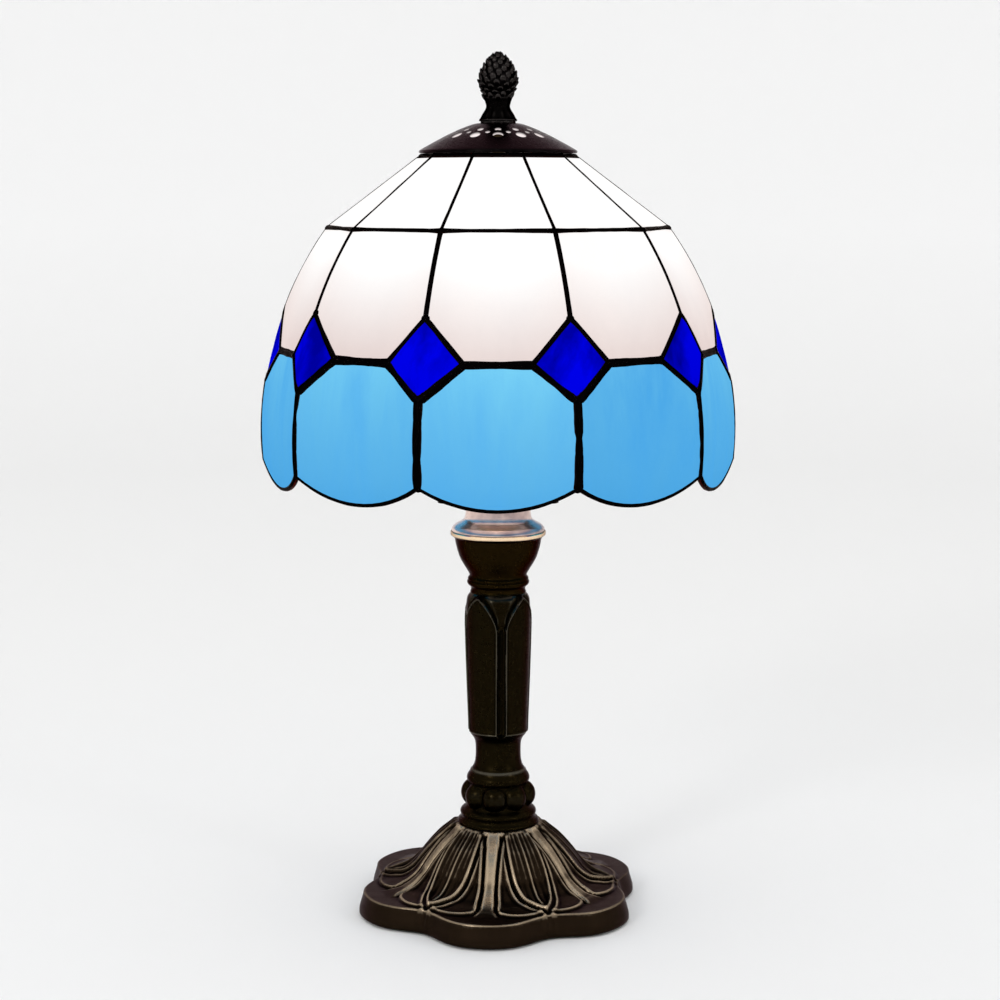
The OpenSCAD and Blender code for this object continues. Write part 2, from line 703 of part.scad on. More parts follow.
// ---- top ----
function cap_height(r) = cap_top_z - (cap_h - cap_rim_h)
    * pow(max(0, (r - cap_flat_r) / (cap_r - cap_flat_r)), 1.25);
CAP_STEPS = 6;
cap_radii = [for (i = [0:CAP_STEPS]) cap_flat_r + (cap_r - cap_flat_r) * i / CAP_STEPS];
stud_hole_r = stud_r + 0.4;
// Radius of the ring, radius of its holes, and its turn in half steps
hole_rings = [[21.7, 2.2, 0], [19.3, 1.1, 1], [16.7, 1.4, 0]];
module vent_cap() {
    outer = [for (r = cap_radii) [r, cap_height(r)]];
    color("black") difference() {
        rotate_extrude() polygon(concat([[stud_hole_r, cap_top_z]], outer,
            [[cap_r, cap_z], [cap_r - 1, cap_z]],
            [for (i = [CAP_STEPS:-1:0]) [cap_radii[i] - (i == CAP_STEPS ? 1 : 0), outer[i][1] - cap_t]],
            [[stud_hole_r, cap_top_z - cap_t]]));
        for (ring = hole_rings, i = [0:cap_holes - 1])
            rotate([0, 0, (i + ring[2] / 2) * 360 / cap_holes]) translate([0, -ring[0], cap_z])
                cylinder(r = ring[1], h = cap_h + 1, $fn = 24);
    }
}
finial_washer_r = 7.4;
module finial_washer() {
    color("dimgray") translate([0, 0, washer_z]) ring_plate(finial_washer_r, stud_hole_r, washer_t);
}

finial_outline = smooth([[finial_foot_r, 0], [finial_foot_r - 0.4, 1.3], [6.6, 3.1], [5.2, 5.9],
    [6.4, 9], [finial_r - 0.8, 12.6], [finial_r, 15.8], [finial_r - 1, 19.2], [5.6, finial_h - 6.4],
    [3.2, finial_h - 2.8], [1.2, finial_h - 0.5], [0, finial_h]], CURVE_STEPS);
module finial() {
    color("black") translate([0, 0, finial_z]) difference() {
        rotate_extrude() polygon(concat([[0, 0]], finial_outline));
        translate([0, 0, -1]) cylinder(r = stud_r + run_gap, h = 14);
    }
}

function numbered(name) = [for (i = [1:PANELS]) str(name, i < 10 ? "_0" : "_", i)];

foot_casting();
ballast_plate();
felt_pad();
cord_grommet();
bottom_washer();
bottom_nut();
lamp_pipe();
knuckle();
column_shaft();
column_cup();
cup_cover();
harp_saddle();
harp_frame();
harp_ferrules();
harp_stud();
socket_cap();
socket_shell();
socket_liner();
socket_base();
screw_shell();
centre_contact();
bulb_glass();
bulb_cap();
bulb_tip();
support_wheel();
came_lattice();
diamond_glass();
vent_cap();
finial_washer();
finial();
for (i = [1:PANELS]) {
    upper_glass(i);
    middle_glass(i);
    lower_glass(i);
}
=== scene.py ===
# %% [markdown]
# A leaded-glass table lamp: thirty panes of white and sky-blue glass and ten cobalt diamonds, soldered
# edge to edge into a ten-sided dome, over a cast bronze column. The measured model of every part is
# loaded first. It says where each part is, and the finer pieces made below are fitted to it.
import math

import bmesh
import bpy
import numpy as np
from mathutils import Matrix, Vector


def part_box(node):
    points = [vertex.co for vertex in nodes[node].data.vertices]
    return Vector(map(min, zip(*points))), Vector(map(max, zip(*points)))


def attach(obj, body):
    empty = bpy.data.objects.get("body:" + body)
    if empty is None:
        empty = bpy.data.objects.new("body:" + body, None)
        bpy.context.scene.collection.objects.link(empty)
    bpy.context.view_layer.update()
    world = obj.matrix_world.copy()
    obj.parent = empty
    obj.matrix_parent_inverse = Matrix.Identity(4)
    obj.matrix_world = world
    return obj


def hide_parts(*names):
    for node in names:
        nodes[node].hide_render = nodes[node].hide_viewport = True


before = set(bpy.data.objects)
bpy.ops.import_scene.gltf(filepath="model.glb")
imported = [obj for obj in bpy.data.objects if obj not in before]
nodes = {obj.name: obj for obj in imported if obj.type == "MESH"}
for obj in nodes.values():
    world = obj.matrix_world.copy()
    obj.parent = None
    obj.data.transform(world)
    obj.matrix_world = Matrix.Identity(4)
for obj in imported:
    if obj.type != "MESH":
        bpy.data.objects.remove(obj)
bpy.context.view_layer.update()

MM = 0.001
PANELS = 10
HALF = math.pi / PANELS
TAU = 2 * math.pi


def box_mm(node):
    """The lowest and highest corners of a measured part, in millimetres."""
    low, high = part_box(node)
    return np.array(low) / MM, np.array(high) / MM


# %% [markdown]
# Blender stores a shape as points and faces. Most pieces here follow a rule, so their points are worked
# out with numpy and handed over at once. Every piece is smooth-shaded, and only edges sharper than a
# given angle stay crisp, which is how a real casting or turned part reads.

# %% Making a piece from points and faces
def piece_from(name, points, faces, sharp=38):
    """A new object from points in millimetres. Edges sharper than sharp degrees stay crisp."""
    mesh = bpy.data.meshes.new(name)
    mesh.from_pydata((np.asarray(points, float) * MM).tolist(), [], faces)
    obj = bpy.data.objects.new(name, mesh)
    bpy.context.scene.collection.objects.link(obj)
    face_outwards(obj, sharp)
    return obj


def face_outwards(obj, sharp=38):
    """Merges doubled points, turns every face outwards and sets the shading."""
    shell = bmesh.new()
    shell.from_mesh(obj.data)
    bmesh.ops.remove_doubles(shell, verts=shell.verts, dist=2e-6)
    bmesh.ops.recalc_face_normals(shell, faces=shell.faces)
    shell.to_mesh(obj.data)
    shell.free()
    obj.data.polygons.foreach_set("use_smooth", [True] * len(obj.data.polygons))
    obj.data.set_sharp_from_angle(angle=math.radians(sharp))


def finish_piece(obj, finish, body, slot, *replaced):
    """Gives a piece its material and its body, and hides the measured parts that it stands for."""
    obj.data.materials.clear()
    obj.data.materials.append(finish)
    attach(obj, body)
    if replaced:
        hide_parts(*replaced)
    triangles = sum(len(face.vertices) - 2 for face in obj.data.polygons)
    print(f"{obj.name}: {triangles} triangles on {body}")
    return obj


# %% [markdown]
# Turned parts are drawn as a section, radius against height. A few points are enough: a smooth curve
# runs through them where the metal flows, and a small fillet softens each corner where it steps,
# because no polished edge is perfectly sharp and the fillet is what catches the light.

# %% Curves and sections
def flow(points, steps=8):
    """A smooth curve through the points, with that many steps between neighbours."""
    p = np.array(points, float)
    p = np.vstack([2 * p[0] - p[1], p, 2 * p[-1] - p[-2]])
    t = np.linspace(0, 1, steps, endpoint=False)[:, None]
    runs = []
    for a, b, c, d in zip(p[:-3], p[1:-2], p[2:-1], p[3:]):
        runs.append(0.5 * (2 * b + (c - a) * t + (2 * a - 5 * b + 4 * c - d) * t ** 2
                           + (3 * b - a - 3 * c + d) * t ** 3))
    return np.vstack(runs + [p[-2:-1]])


def filleted(points, radius, steps=3, closed=True):
    """The outline with each corner rounded by about that radius."""
    p = np.array(points, float)
    out = []
    for i in range(len(p)):
        if not closed and i in (0, len(p) - 1):
            out.append(p[i])
            continue
        before, here, after = p[i - 1], p[i], p[(i + 1) % len(p)]
        back, on = before - here, after - here
        reach = min(radius, 0.45 * np.linalg.norm(back), 0.45 * np.linalg.norm(on))
        start = here + back / max(np.linalg.norm(back), 1e-9) * reach
        end = here + on / max(np.linalg.norm(on), 1e-9) * reach
        for t in np.linspace(0, 1, steps + 1):
            out.append((1 - t) ** 2 * start + 2 * t * (1 - t) * here + t ** 2 * end)
    return np.array(out)


def turned(name, section, steps=96, shape=None, sharp=38):
    """A closed section in (radius, height) swept once round the axis. shape(angle, r, z) may move its
    points. Angles are counted from the front (-Y) towards +X."""
    section = np.asarray(section, float)
    count = len(section)
    angle = (np.arange(steps) * TAU / steps)[:, None]
    r = np.repeat(section[None, :, 0], steps, 0)
    z = np.repeat(section[None, :, 1], steps, 0)
    if shape:
        r, z = shape(angle, r, z)
    points = np.stack([r * np.sin(angle), -r * np.cos(angle), z], -1).reshape(-1, 3)
    faces = []
    for j in range(steps):
        a, b = j * count, (j + 1) % steps * count
        for k in range(count):
            m = (k + 1) % count
            if section[k, 0] > 1e-6 or section[m, 0] > 1e-6:
                faces.append((a + k, a + m, b + m, b + k))
    return piece_from(name, points, faces, sharp)


def ring_section(inner, outer, low, high, fillet=0.25):
    """The section of a plain ring or sleeve with softened corners."""
    return filleted([(inner, low), (outer, low), (outer, high), (inner, high)], fillet)


# %% [markdown]
# Two jobs come back again and again: sweeping a bead of metal along a path, and setting copies of a
# small piece on chosen points. Both are Geometry Nodes trees. A tree keeps the rule and its sizes
# together and can be reused, where a loop of mesh code would be copied for each use. Nodes are added
# with one helper, which sets or links each input by name.

# %% A helper that adds nodes
def add(tree, kind, inputs=None, **settings):
    """One new node. A plain value sets an input, and a socket is linked to it."""
    node = tree.nodes.new(kind)
    for key, value in settings.items():
        setattr(node, key, value)
    for key, value in (inputs or {}).items():
        if isinstance(value, bpy.types.NodeSocket):
            tree.links.new(value, node.inputs[key])
        else:
            node.inputs[key].default_value = value
    return node


def new_tree(name, **inputs):
    """A Geometry Nodes tree with a geometry input and the named inputs, and its two ends."""
    tree = bpy.data.node_groups.new(name, "GeometryNodeTree")
    tree.interface.new_socket("Geometry", in_out="INPUT", socket_type="NodeSocketGeometry")
    tree.interface.new_socket("Geometry", in_out="OUTPUT", socket_type="NodeSocketGeometry")
    for label, kind in inputs.items():
        tree.interface.new_socket(label.replace("_", " "), in_out="INPUT", socket_type="NodeSocket" + kind)
    return tree, tree.nodes.new("NodeGroupInput").outputs, tree.nodes.new("NodeGroupOutput").inputs


def end_tree(tree, outlet, geometry, material):
    """Ends a tree: copies are made real, because the export drops them, and the finish is set."""
    real = add(tree, "GeometryNodeRealizeInstances", {"Geometry": geometry})
    smooth = add(tree, "GeometryNodeSetShadeSmooth", {"Geometry": real.outputs[0], "Shade Smooth": True})
    done = add(tree, "GeometryNodeSetMaterial", {"Geometry": smooth.outputs[0], "Material": material})
    tree.links.new(done.outputs[0], outlet["Geometry"])


def grow(obj, tree, **values):
    """Runs a tree on obj with these inputs, and keeps the result as obj's own plain mesh."""
    modifier = obj.modifiers.new(tree.name, "NODES")
    modifier.node_group = tree
    sockets = {s.name: s.identifier for s in tree.interface.items_tree if s.in_out == "INPUT"}
    for label, value in values.items():
        modifier[sockets[label.replace("_", " ")]] = value
    bpy.context.view_layer.update()
    ready = obj.evaluated_get(bpy.context.evaluated_depsgraph_get())
    mesh = bpy.data.meshes.new_from_object(ready)
    obj.modifiers.remove(modifier)
    obj.data = mesh
    return obj


def attribute(tree, name, kind="FLOAT_VECTOR"):
    """Reads a named attribute in a Geometry Nodes tree."""
    node = add(tree, "GeometryNodeInputNamedAttribute", {"Name": name}, data_type=kind)
    return node.outputs["Attribute"]


def vector_math(tree, operation, *values):
    """A vector sum, difference, product or scaling."""
    node = tree.nodes.new("ShaderNodeVectorMath")
    node.operation = operation
    names = [0, "Scale"] if operation == "SCALE" else [0, 1]
    for key, value in zip(names, values):
        if isinstance(value, bpy.types.NodeSocket):
            tree.links.new(value, node.inputs[key])
        else:
            node.inputs[key].default_value = value
    return node.outputs[0]


def number_math(tree, operation, *values):
    """One arithmetic step on numbers."""
    node = tree.nodes.new("ShaderNodeMath")
    node.operation = operation
    for key, value in enumerate(values):
        if isinstance(value, bpy.types.NodeSocket):
            tree.links.new(value, node.inputs[key])
        else:
            node.inputs[key].default_value = value
    return node.outputs[0]


print("tools ready")

# %% [markdown]
# The bead tree. Each path point carries two directions, across the seam and outwards from the shade,
# and half the bead's width and height there. The tree sweeps a unit circle along the path and then
# puts every point of it where those values say, swollen a little by noise, because a hand-soldered
# line is never even. A plain Curve to Mesh could not keep the bead flat against the glass.

# %% The bead tree
def make_bead_tree():
    """Sweeps an oval bead along paths that carry across, outward, half_width and half_height."""
    tree, given, outlet = new_tree("oval_bead", Sides="Int", Unevenness="Float", Lump_Scale="Float",
                                   Seed="Float", Finish="Material")
    path = add(tree, "GeometryNodeMeshToCurve", {"Mesh": given["Geometry"]})
    line = add(tree, "GeometryNodeStoreNamedAttribute",
               {"Geometry": path.outputs[0], "Name": "line",
                "Value": tree.nodes.new("GeometryNodeInputPosition").outputs[0]},
               data_type="FLOAT_VECTOR", domain="POINT")
    circle = add(tree, "GeometryNodeCurvePrimitiveCircle", {"Resolution": given["Sides"], "Radius": 1.0})
    section = add(tree, "GeometryNodeStoreNamedAttribute",
                  {"Geometry": circle.outputs[0], "Name": "section",
                   "Value": tree.nodes.new("GeometryNodeInputPosition").outputs[0]},
                  data_type="FLOAT_VECTOR", domain="POINT")
    swept = add(tree, "GeometryNodeCurveToMesh",
                {"Curve": line.outputs[0], "Profile Curve": section.outputs[0], "Fill Caps": True})
    on_line, on_section = attribute(tree, "line"), attribute(tree, "section")
    side = add(tree, "ShaderNodeSeparateXYZ", {0: on_section}).outputs
    drift = add(tree, "ShaderNodeCombineXYZ", {0: given["Seed"], 1: given["Seed"], 2: given["Seed"]})
    noise = add(tree, "ShaderNodeTexNoise",
                {"Vector": vector_math(tree, "ADD", on_line, drift.outputs[0]),
                 "Scale": given["Lump Scale"], "Detail": 3.0})
    swing = number_math(tree, "MULTIPLY_ADD", noise.outputs[0], 2.0, -1.0)
    swell = number_math(tree, "MULTIPLY_ADD", swing, given["Unevenness"], 1.0)
    low_swell = number_math(tree, "MULTIPLY_ADD", swell, 0.4, 0.6)
    wide = number_math(tree, "MULTIPLY", attribute(tree, "half_width", "FLOAT"), swell)
    tall = number_math(tree, "MULTIPLY", attribute(tree, "half_height", "FLOAT"), low_swell)
    sideways = vector_math(tree, "SCALE", attribute(tree, "across"),
                           number_math(tree, "MULTIPLY", side[0], wide))
    upwards = vector_math(tree, "SCALE", attribute(tree, "outward"),
                          number_math(tree, "MULTIPLY", side[1], tall))
    place = vector_math(tree, "ADD", on_line, vector_math(tree, "ADD", sideways, upwards))
    moved = add(tree, "GeometryNodeSetPosition", {"Geometry": swept.outputs[0], "Position": place})
    end_tree(tree, outlet, moved.outputs[0], given["Finish"])
    return tree


bead_tree = make_bead_tree()
print("bead tree:", len(bead_tree.nodes), "nodes")

# %% [markdown]
# The second tree sets a small piece on points. Each point says which way is outwards and which way is
# up for its copy, and how large the copy is. It seats pine-cone scales, solder joints and knurls.

# %% The seating tree
def make_seat_tree():
    """Sets Piece on points that carry outward, upward and size, Z outwards and Y upwards."""
    tree, given, outlet = new_tree("set_on_points", Piece="Object", Finish="Material")
    piece = add(tree, "GeometryNodeObjectInfo", {"Object": given["Piece"]}, transform_space="ORIGINAL")
    facing = add(tree, "FunctionNodeAlignRotationToVector", {"Vector": attribute(tree, "outward")},
                 axis="Z")
    turned_up = add(tree, "FunctionNodeAlignRotationToVector",
                    {"Rotation": facing.outputs[0], "Vector": attribute(tree, "upward")},
                    axis="Y", pivot_axis="Z")
    copies = add(tree, "GeometryNodeInstanceOnPoints",
                 {"Points": given["Geometry"], "Instance": piece.outputs["Geometry"],
                  "Rotation": turned_up.outputs[0], "Scale": attribute(tree, "size")})
    end_tree(tree, outlet, copies.outputs[0], given["Finish"])
    return tree


seat_tree = make_seat_tree()


def path_object(name, points, edges=(), **values):
    """Loose points and edges, in millimetres, with one value or vector at each point."""
    mesh = bpy.data.meshes.new(name)
    mesh.from_pydata((np.asarray(points, float) * MM).tolist(), list(edges), [])
    for label, data in values.items():
        data = np.asarray(data, float)
        kind = "FLOAT" if data.ndim == 1 else "FLOAT_VECTOR"
        layer = mesh.attributes.new(label, kind, "POINT")
        layer.data.foreach_set("value" if data.ndim == 1 else "vector", data.astype(np.float32).ravel())
    obj = bpy.data.objects.new(name, mesh)
    bpy.context.scene.collection.objects.link(obj)
    return obj


def joined(name, parts, sharp=38):
    """Several objects made one plain mesh. The old ones are removed."""
    shell = bmesh.new()
    for part in parts:
        shell.from_mesh(part.data)
    mesh = bpy.data.meshes.new(name)
    shell.to_mesh(mesh)
    shell.free()
    for part in parts:
        bpy.data.objects.remove(part)
    obj = bpy.data.objects.new(name, mesh)
    bpy.context.scene.collection.objects.link(obj)
    obj.data.polygons.foreach_set("use_smooth", [True] * len(obj.data.polygons))
    obj.data.set_sharp_from_angle(angle=math.radians(sharp))
    return obj


print("seating tree:", len(seat_tree.nodes), "nodes")

# %% [markdown]
# Finishes come from Object coordinates and from values stored on the points. The casting's finish is an
# antique one: the maker blackens the whole bronze and then rubs the high places back, so the colour
# follows the relief. "wear" holds that relief. It compares each point with its neighbours: a point
# that stands proud of them is an edge, and one that lies lower is a hollow.

# %% Wear from the relief
def mark_wear(obj, gain=0.5, rounds=3, change=None):
    """Stores wear on every point: 0 in a hollow, 0.5 on the flat, 1 on an edge."""
    mesh = obj.data
    count = len(mesh.vertices)
    place = np.empty(count * 3)
    normal = np.empty(count * 3)
    mesh.vertices.foreach_get("co", place)
    mesh.vertices.foreach_get("normal", normal)
    place, normal = place.reshape(-1, 3) / MM, normal.reshape(-1, 3)
    ends = np.empty(len(mesh.edges) * 2, int)
    mesh.edges.foreach_get("vertices", ends)
    a, b = ends[0::2], ends[1::2]
    near = np.bincount(a, minlength=count) + np.bincount(b, minlength=count)

    def around(values):
        total = np.zeros_like(values)
        np.add.at(total, a, values[b])
        np.add.at(total, b, values[a])
        return total / near.reshape((-1,) + (1,) * (values.ndim - 1))

    for _ in range(rounds):
        normal = around(normal) + normal
    normal /= np.maximum(np.linalg.norm(normal, axis=1, keepdims=True), 1e-9)
    spread = place
    for _ in range(rounds):
        spread = around(spread)
    proud = ((place - spread) * normal).sum(1)
    for _ in range(2):
        proud = 0.5 * proud + 0.5 * around(proud)
    wear = 0.5 + 0.5 * np.tanh(20 * gain * proud)
    if change:
        wear = change(place, wear)
    layer = mesh.attributes.new("wear", "FLOAT", "POINT")
    layer.data.foreach_set("value", wear.astype(np.float32))
    print(f"{obj.name}: wear from {wear.min():.2f} to {wear.max():.2f}")


# %% [markdown]
# A finish is a small shader tree. Whatever is the same all over is set on the shader's own socket.
# Only what varies over the surface, such as the colour, the roughness and the bump, comes through
# nodes. The scale of each noise is given per metre, so 400 makes grains of about 2.5 millimetres.

# %% Building blocks for finishes
def new_finish(name, **settings):
    """An empty material with a Principled shader, its tree and its Object coordinates."""
    finish = bpy.data.materials.new(name)
    finish.use_nodes = True
    tree = finish.node_tree
    tree.nodes.clear()
    shader = tree.nodes.new("ShaderNodeBsdfPrincipled")
    outlet = tree.nodes.new("ShaderNodeOutputMaterial")
    tree.links.new(shader.outputs[0], outlet.inputs[0])
    for label, value in settings.items():
        shader.inputs[label.replace("_", " ")].default_value = value
    where = tree.nodes.new("ShaderNodeTexCoord").outputs["Object"]
    return finish, tree, shader, where


def noise(tree, where, scale, detail=4.0, roughness=0.55, distortion=0.0):
    """A cloud pattern as a number, about 0.5 on average."""
    node = add(tree, "ShaderNodeTexNoise", {"Vector": where, "Scale": scale, "Detail": detail,
                                             "Roughness": roughness, "Distortion": distortion})
    return node.outputs[0]


def colour_steps(tree, value, *steps):
    """A colour ramp. Each step is a place from 0 to 1 and a colour."""
    ramp = add(tree, "ShaderNodeValToRGB", {0: value})
    band = ramp.color_ramp
    while len(band.elements) < len(steps):
        band.elements.new(0.5)
    for element, (place, colour) in zip(band.elements, steps):
        element.position = place
        element.color = (*colour, 1)
    return ramp.outputs[0]


def between(tree, value, low, high, start=0.0, end=1.0):
    """The value's range start to end carried to low to high."""
    return add(tree, "ShaderNodeMapRange", {"Value": value, "From Min": start, "From Max": end,
                                             "To Min": low, "To Max": high}).outputs[0]


def bumped(tree, shader, height, strength, distance):
    """Small relief from a height pattern. Distance is in metres."""
    node = add(tree, "ShaderNodeBump", {"Height": height, "Strength": strength, "Distance": distance})
    tree.links.new(node.outputs[0], shader.inputs["Normal"])


def point_value(tree, name):
    """A value stored on the piece's points."""
    return add(tree, "ShaderNodeAttribute", attribute_name=name)


# %% [markdown]
# The antique bronze. Hollows are nearly black, flats are a brown-black, and worn edges show warm
# metal. A slow noise shifts the border between them, so that the rubbing looks done by hand, and a
# fine one roughens the skin as sand does in a mould.

# %% Cast finishes
def cast_metal(name, hollow, flat, worn, polish=0.36, edge_from=0.62, edge_to=0.92, sheen=0.3):
    """A patinated casting whose colour follows the wear stored on its points."""
    finish, tree, shader, where = new_finish(name, Metallic=1.0,
                                             Specular_Tint=(sheen, 0.9 * sheen, 0.92 * sheen, 1.0))
    wear = point_value(tree, "wear").outputs["Fac"]
    hand = number_math(tree, "MULTIPLY_ADD", noise(tree, where, 70, 3), 0.16, -0.08)
    fine = number_math(tree, "MULTIPLY_ADD", noise(tree, where, 900, 3), 0.10, -0.05)
    level = number_math(tree, "ADD", number_math(tree, "ADD", wear, hand), fine)
    colour = colour_steps(tree, level, (0.22, hollow), (0.46, flat), (edge_from, flat), (edge_to, worn))
    tree.links.new(colour, shader.inputs["Base Color"])
    rough = number_math(tree, "SUBTRACT",
                        between(tree, noise(tree, where, 260, 4), polish - 0.08, polish + 0.12),
                        between(tree, level, 0.0, 0.12, 0.5, 0.8))
    tree.links.new(rough, shader.inputs["Roughness"])
    bumped(tree, shader, noise(tree, where, 1400, 4), 0.16, 0.0003)
    return finish


bronze = cast_metal("antique_bronze", (0.0012, 0.0008, 0.0004), (0.0150, 0.0092, 0.0052),
                    (0.40, 0.31, 0.21), edge_from=0.57, edge_to=0.95, sheen=0.62)
column_bronze = cast_metal("column_bronze", (0.001, 0.001, 0.0006), (0.0075, 0.0052, 0.0018),
                           (0.06, 0.054, 0.04), polish=0.27, edge_to=1.0, sheen=0.55)
# the cup's bronze: its worn colour, a bright cream, is a painted highlight for the rim
cup_bronze_rim_highlight = cast_metal("cup_bronze_rim_highlight", (0.001, 0.001, 0.0006), (0.0105, 0.0060, 0.0014), (0.95, 0.72, 0.48),
                        polish=0.27, edge_from=0.66, edge_to=0.9, sheen=0.5)
black_casting = cast_metal("black_casting", (0.001, 0.001, 0.001), (0.0018, 0.0015, 0.0015),
                           (0.024, 0.021, 0.020), polish=0.24, sheen=0.3)


# %% Drawn and spun metals
def spun_metal(name, colour, tint, polish, metallic=1.0):
    """Metal that was spun or drawn: fine rings round the axis and a slow tarnish."""
    finish, tree, shader, where = new_finish(name, Metallic=metallic)
    tarnish = noise(tree, where, 45, 4, 0.6)
    tree.links.new(colour_steps(tree, tarnish, (0.35, tint), (0.62, colour)), shader.inputs["Base Color"])
    rings = add(tree, "ShaderNodeTexWave",
                {"Vector": where, "Scale": 260.0, "Distortion": 1.5, "Detail": 2.0}, wave_type="BANDS",
                bands_direction="Z")
    tree.links.new(between(tree, tarnish, polish + 0.1, polish), shader.inputs["Roughness"])
    bumped(tree, shader, rings.outputs[1], 0.08, 0.0001)
    return finish


brass = spun_metal("brass", (0.72, 0.50, 0.20), (0.46, 0.29, 0.10), 0.24)
cover_metal = spun_metal("cover_metal", (0.88, 0.66, 0.58), (0.36, 0.26, 0.25), 0.24)
browned_brass = spun_metal("browned_brass", (0.032, 0.023, 0.012), (0.018, 0.013, 0.008), 0.34)
socket_metal = spun_metal("socket_metal", (0.48, 0.34, 0.15), (0.30, 0.19, 0.08), 0.28)
bulb_metal = spun_metal("bulb_metal", (0.66, 0.66, 0.64), (0.42, 0.42, 0.41), 0.25)
zinc = spun_metal("zinc_steel", (0.52, 0.54, 0.56), (0.36, 0.38, 0.41), 0.32)


# %% Iron, felt, card and mouldings
def plain_finish(name, light, dark, roughness, grain, relief, **settings):
    """A dull material: two tones mixed by a cloud, and a grain of the given scale for its relief."""
    finish, tree, shader, where = new_finish(name, **settings)
    cloud = noise(tree, where, grain * 0.25, 5, 0.6)
    tree.links.new(colour_steps(tree, cloud, (0.38, dark), (0.62, light)), shader.inputs["Base Color"])
    tree.links.new(between(tree, cloud, roughness - 0.06, roughness + 0.06), shader.inputs["Roughness"])
    bumped(tree, shader, noise(tree, where, grain, 3), 0.35, relief)
    return finish


cast_iron = plain_finish("cast_iron", (0.055, 0.05, 0.048), (0.02, 0.018, 0.017), 0.62, 900, 0.0004,
                         Metallic=0.7)
felt = plain_finish("felt", (0.030, 0.042, 0.028), (0.012, 0.019, 0.012), 0.95, 2600, 0.0006,
                    Sheen_Weight=0.4)
grommet_plastic = plain_finish("black_plastic", (0.016, 0.016, 0.017), (0.009, 0.009, 0.010), 0.42, 1500,
                               0.0001)
card = plain_finish("card_liner", (0.24, 0.15, 0.07), (0.15, 0.09, 0.04), 0.75, 1200, 0.0002)
insulator = plain_finish("insulator", (0.090, 0.035, 0.018), (0.045, 0.016, 0.009), 0.3, 700, 0.0001)
print("finishes for metal, felt and mouldings are ready")

# %% [markdown]
# The shade is the piece that everything hangs on visually. Its wall is one rule: ten equal faces, flat
# from the crown to the first ring and then bent along two shallow arcs. The heights are read back from
# the measured panes, and the few radii that go with them are written here once.

# %% The wall of the shade
GLASS_T = 2.2
SKIRT_R = 99.6          # at the cusps, on the seams
SCALLOP_DROP = 9.2
CROWN_CAME = 2.0
MIDDLE_BULGE, LOWER_BULGE = 2.6, 2.2
DIAMOND_HALF_W, DIAMOND_UP, DIAMOND_DOWN = 16.3, 17.5, 13.8

upper_low, upper_high = box_mm("upper_glass_01")
middle_low, middle_high = box_mm("middle_glass_01")
lower_high = box_mm("lower_glass_01")[1]
crown_z = upper_high[2] + CROWN_CAME
ring1_z = (upper_low[2] + middle_high[2]) / 2
ring2_z = (middle_low[2] + lower_high[2]) / 2
hem_z = box_mm("came_lattice")[0][2]
skirt_z = hem_z + SCALLOP_DROP


def apothem_at(node, z):
    """How far the middle of a front pane's wall is from the axis, at the height of one of its edges."""
    y = [v.co.y / MM for v in nodes[node].data.vertices if abs(v.co.z / MM - z) < 0.05]
    return -(min(y) + max(y)) / 2


def flat_arc(p, q, bulge, steps=24):
    """Points of a shallow arc from p to q that bulges outwards."""
    p, q = np.array(p), np.array(q)
    chord = q - p
    side = np.array([-chord[1], chord[0]]) / np.linalg.norm(chord)
    t = np.linspace(0, 1, steps + 1)[:, None]
    return p + chord * t + side * bulge * 4 * t * (1 - t)


top_a = apothem_at("upper_glass_01", upper_high[2])
ring_a = apothem_at("upper_glass_01", upper_low[2])
slope = (ring_a - top_a) / (upper_high[2] - upper_low[2])
crown_a = top_a - slope * (crown_z - upper_high[2])
ring1_a = top_a + slope * (upper_high[2] - ring1_z)
ring2_a = (apothem_at("middle_glass_01", middle_low[2]) + apothem_at("lower_glass_01", lower_high[2])) / 2
skirt_a = SKIRT_R * math.cos(HALF)
lower_arc = flat_arc((ring2_a, ring2_z), (skirt_a, skirt_z), LOWER_BULGE)
hem_way = lower_arc[-1] - lower_arc[-2]
hem_point = lower_arc[-1] + hem_way / abs(hem_way[1]) * (SCALLOP_DROP + 3)
wall = np.vstack([[(crown_a, crown_z)], flat_arc((ring1_a, ring1_z), (ring2_a, ring2_z), MIDDLE_BULGE),
                  lower_arc[1:], [hem_point]])
print("seam radii:", [round(a / math.cos(HALF), 2) for a in (crown_a, ring1_a, ring2_a, skirt_a)])
print("heights:", [round(float(z), 2) for z in (crown_z, ring1_z, ring2_z, skirt_z, hem_z)])


def wall_a(z):
    """Distance of the wall's middle from the axis, on a face's centre line."""
    return np.interp(-np.asarray(z, float), -wall[:, 1], wall[:, 0])


def half_width(z):
    """Half the width of a face."""
    return wall_a(z) * math.tan(HALF)


def wall_normal(z):
    """The outward way at a height, as its level part and its upward part."""
    level, rise = 0.3 * np.ones_like(z), wall_a(z - 0.15) - wall_a(z + 0.15)
    length = np.hypot(level, rise)
    return level / length, rise / length


def face_points(x, z, depth, panel):
    """Points of a face from its flat drawing. Depth is how far outside the wall's middle they lie."""
    x, z = np.asarray(x, float), np.asarray(z, float)
    level, up = wall_normal(z)
    out = wall_a(z) + depth * level
    turn = 2 * HALF * panel
    return np.stack([x * math.cos(turn) + out * math.sin(turn),
                     x * math.sin(turn) - out * math.cos(turn), z + depth * up], -1)


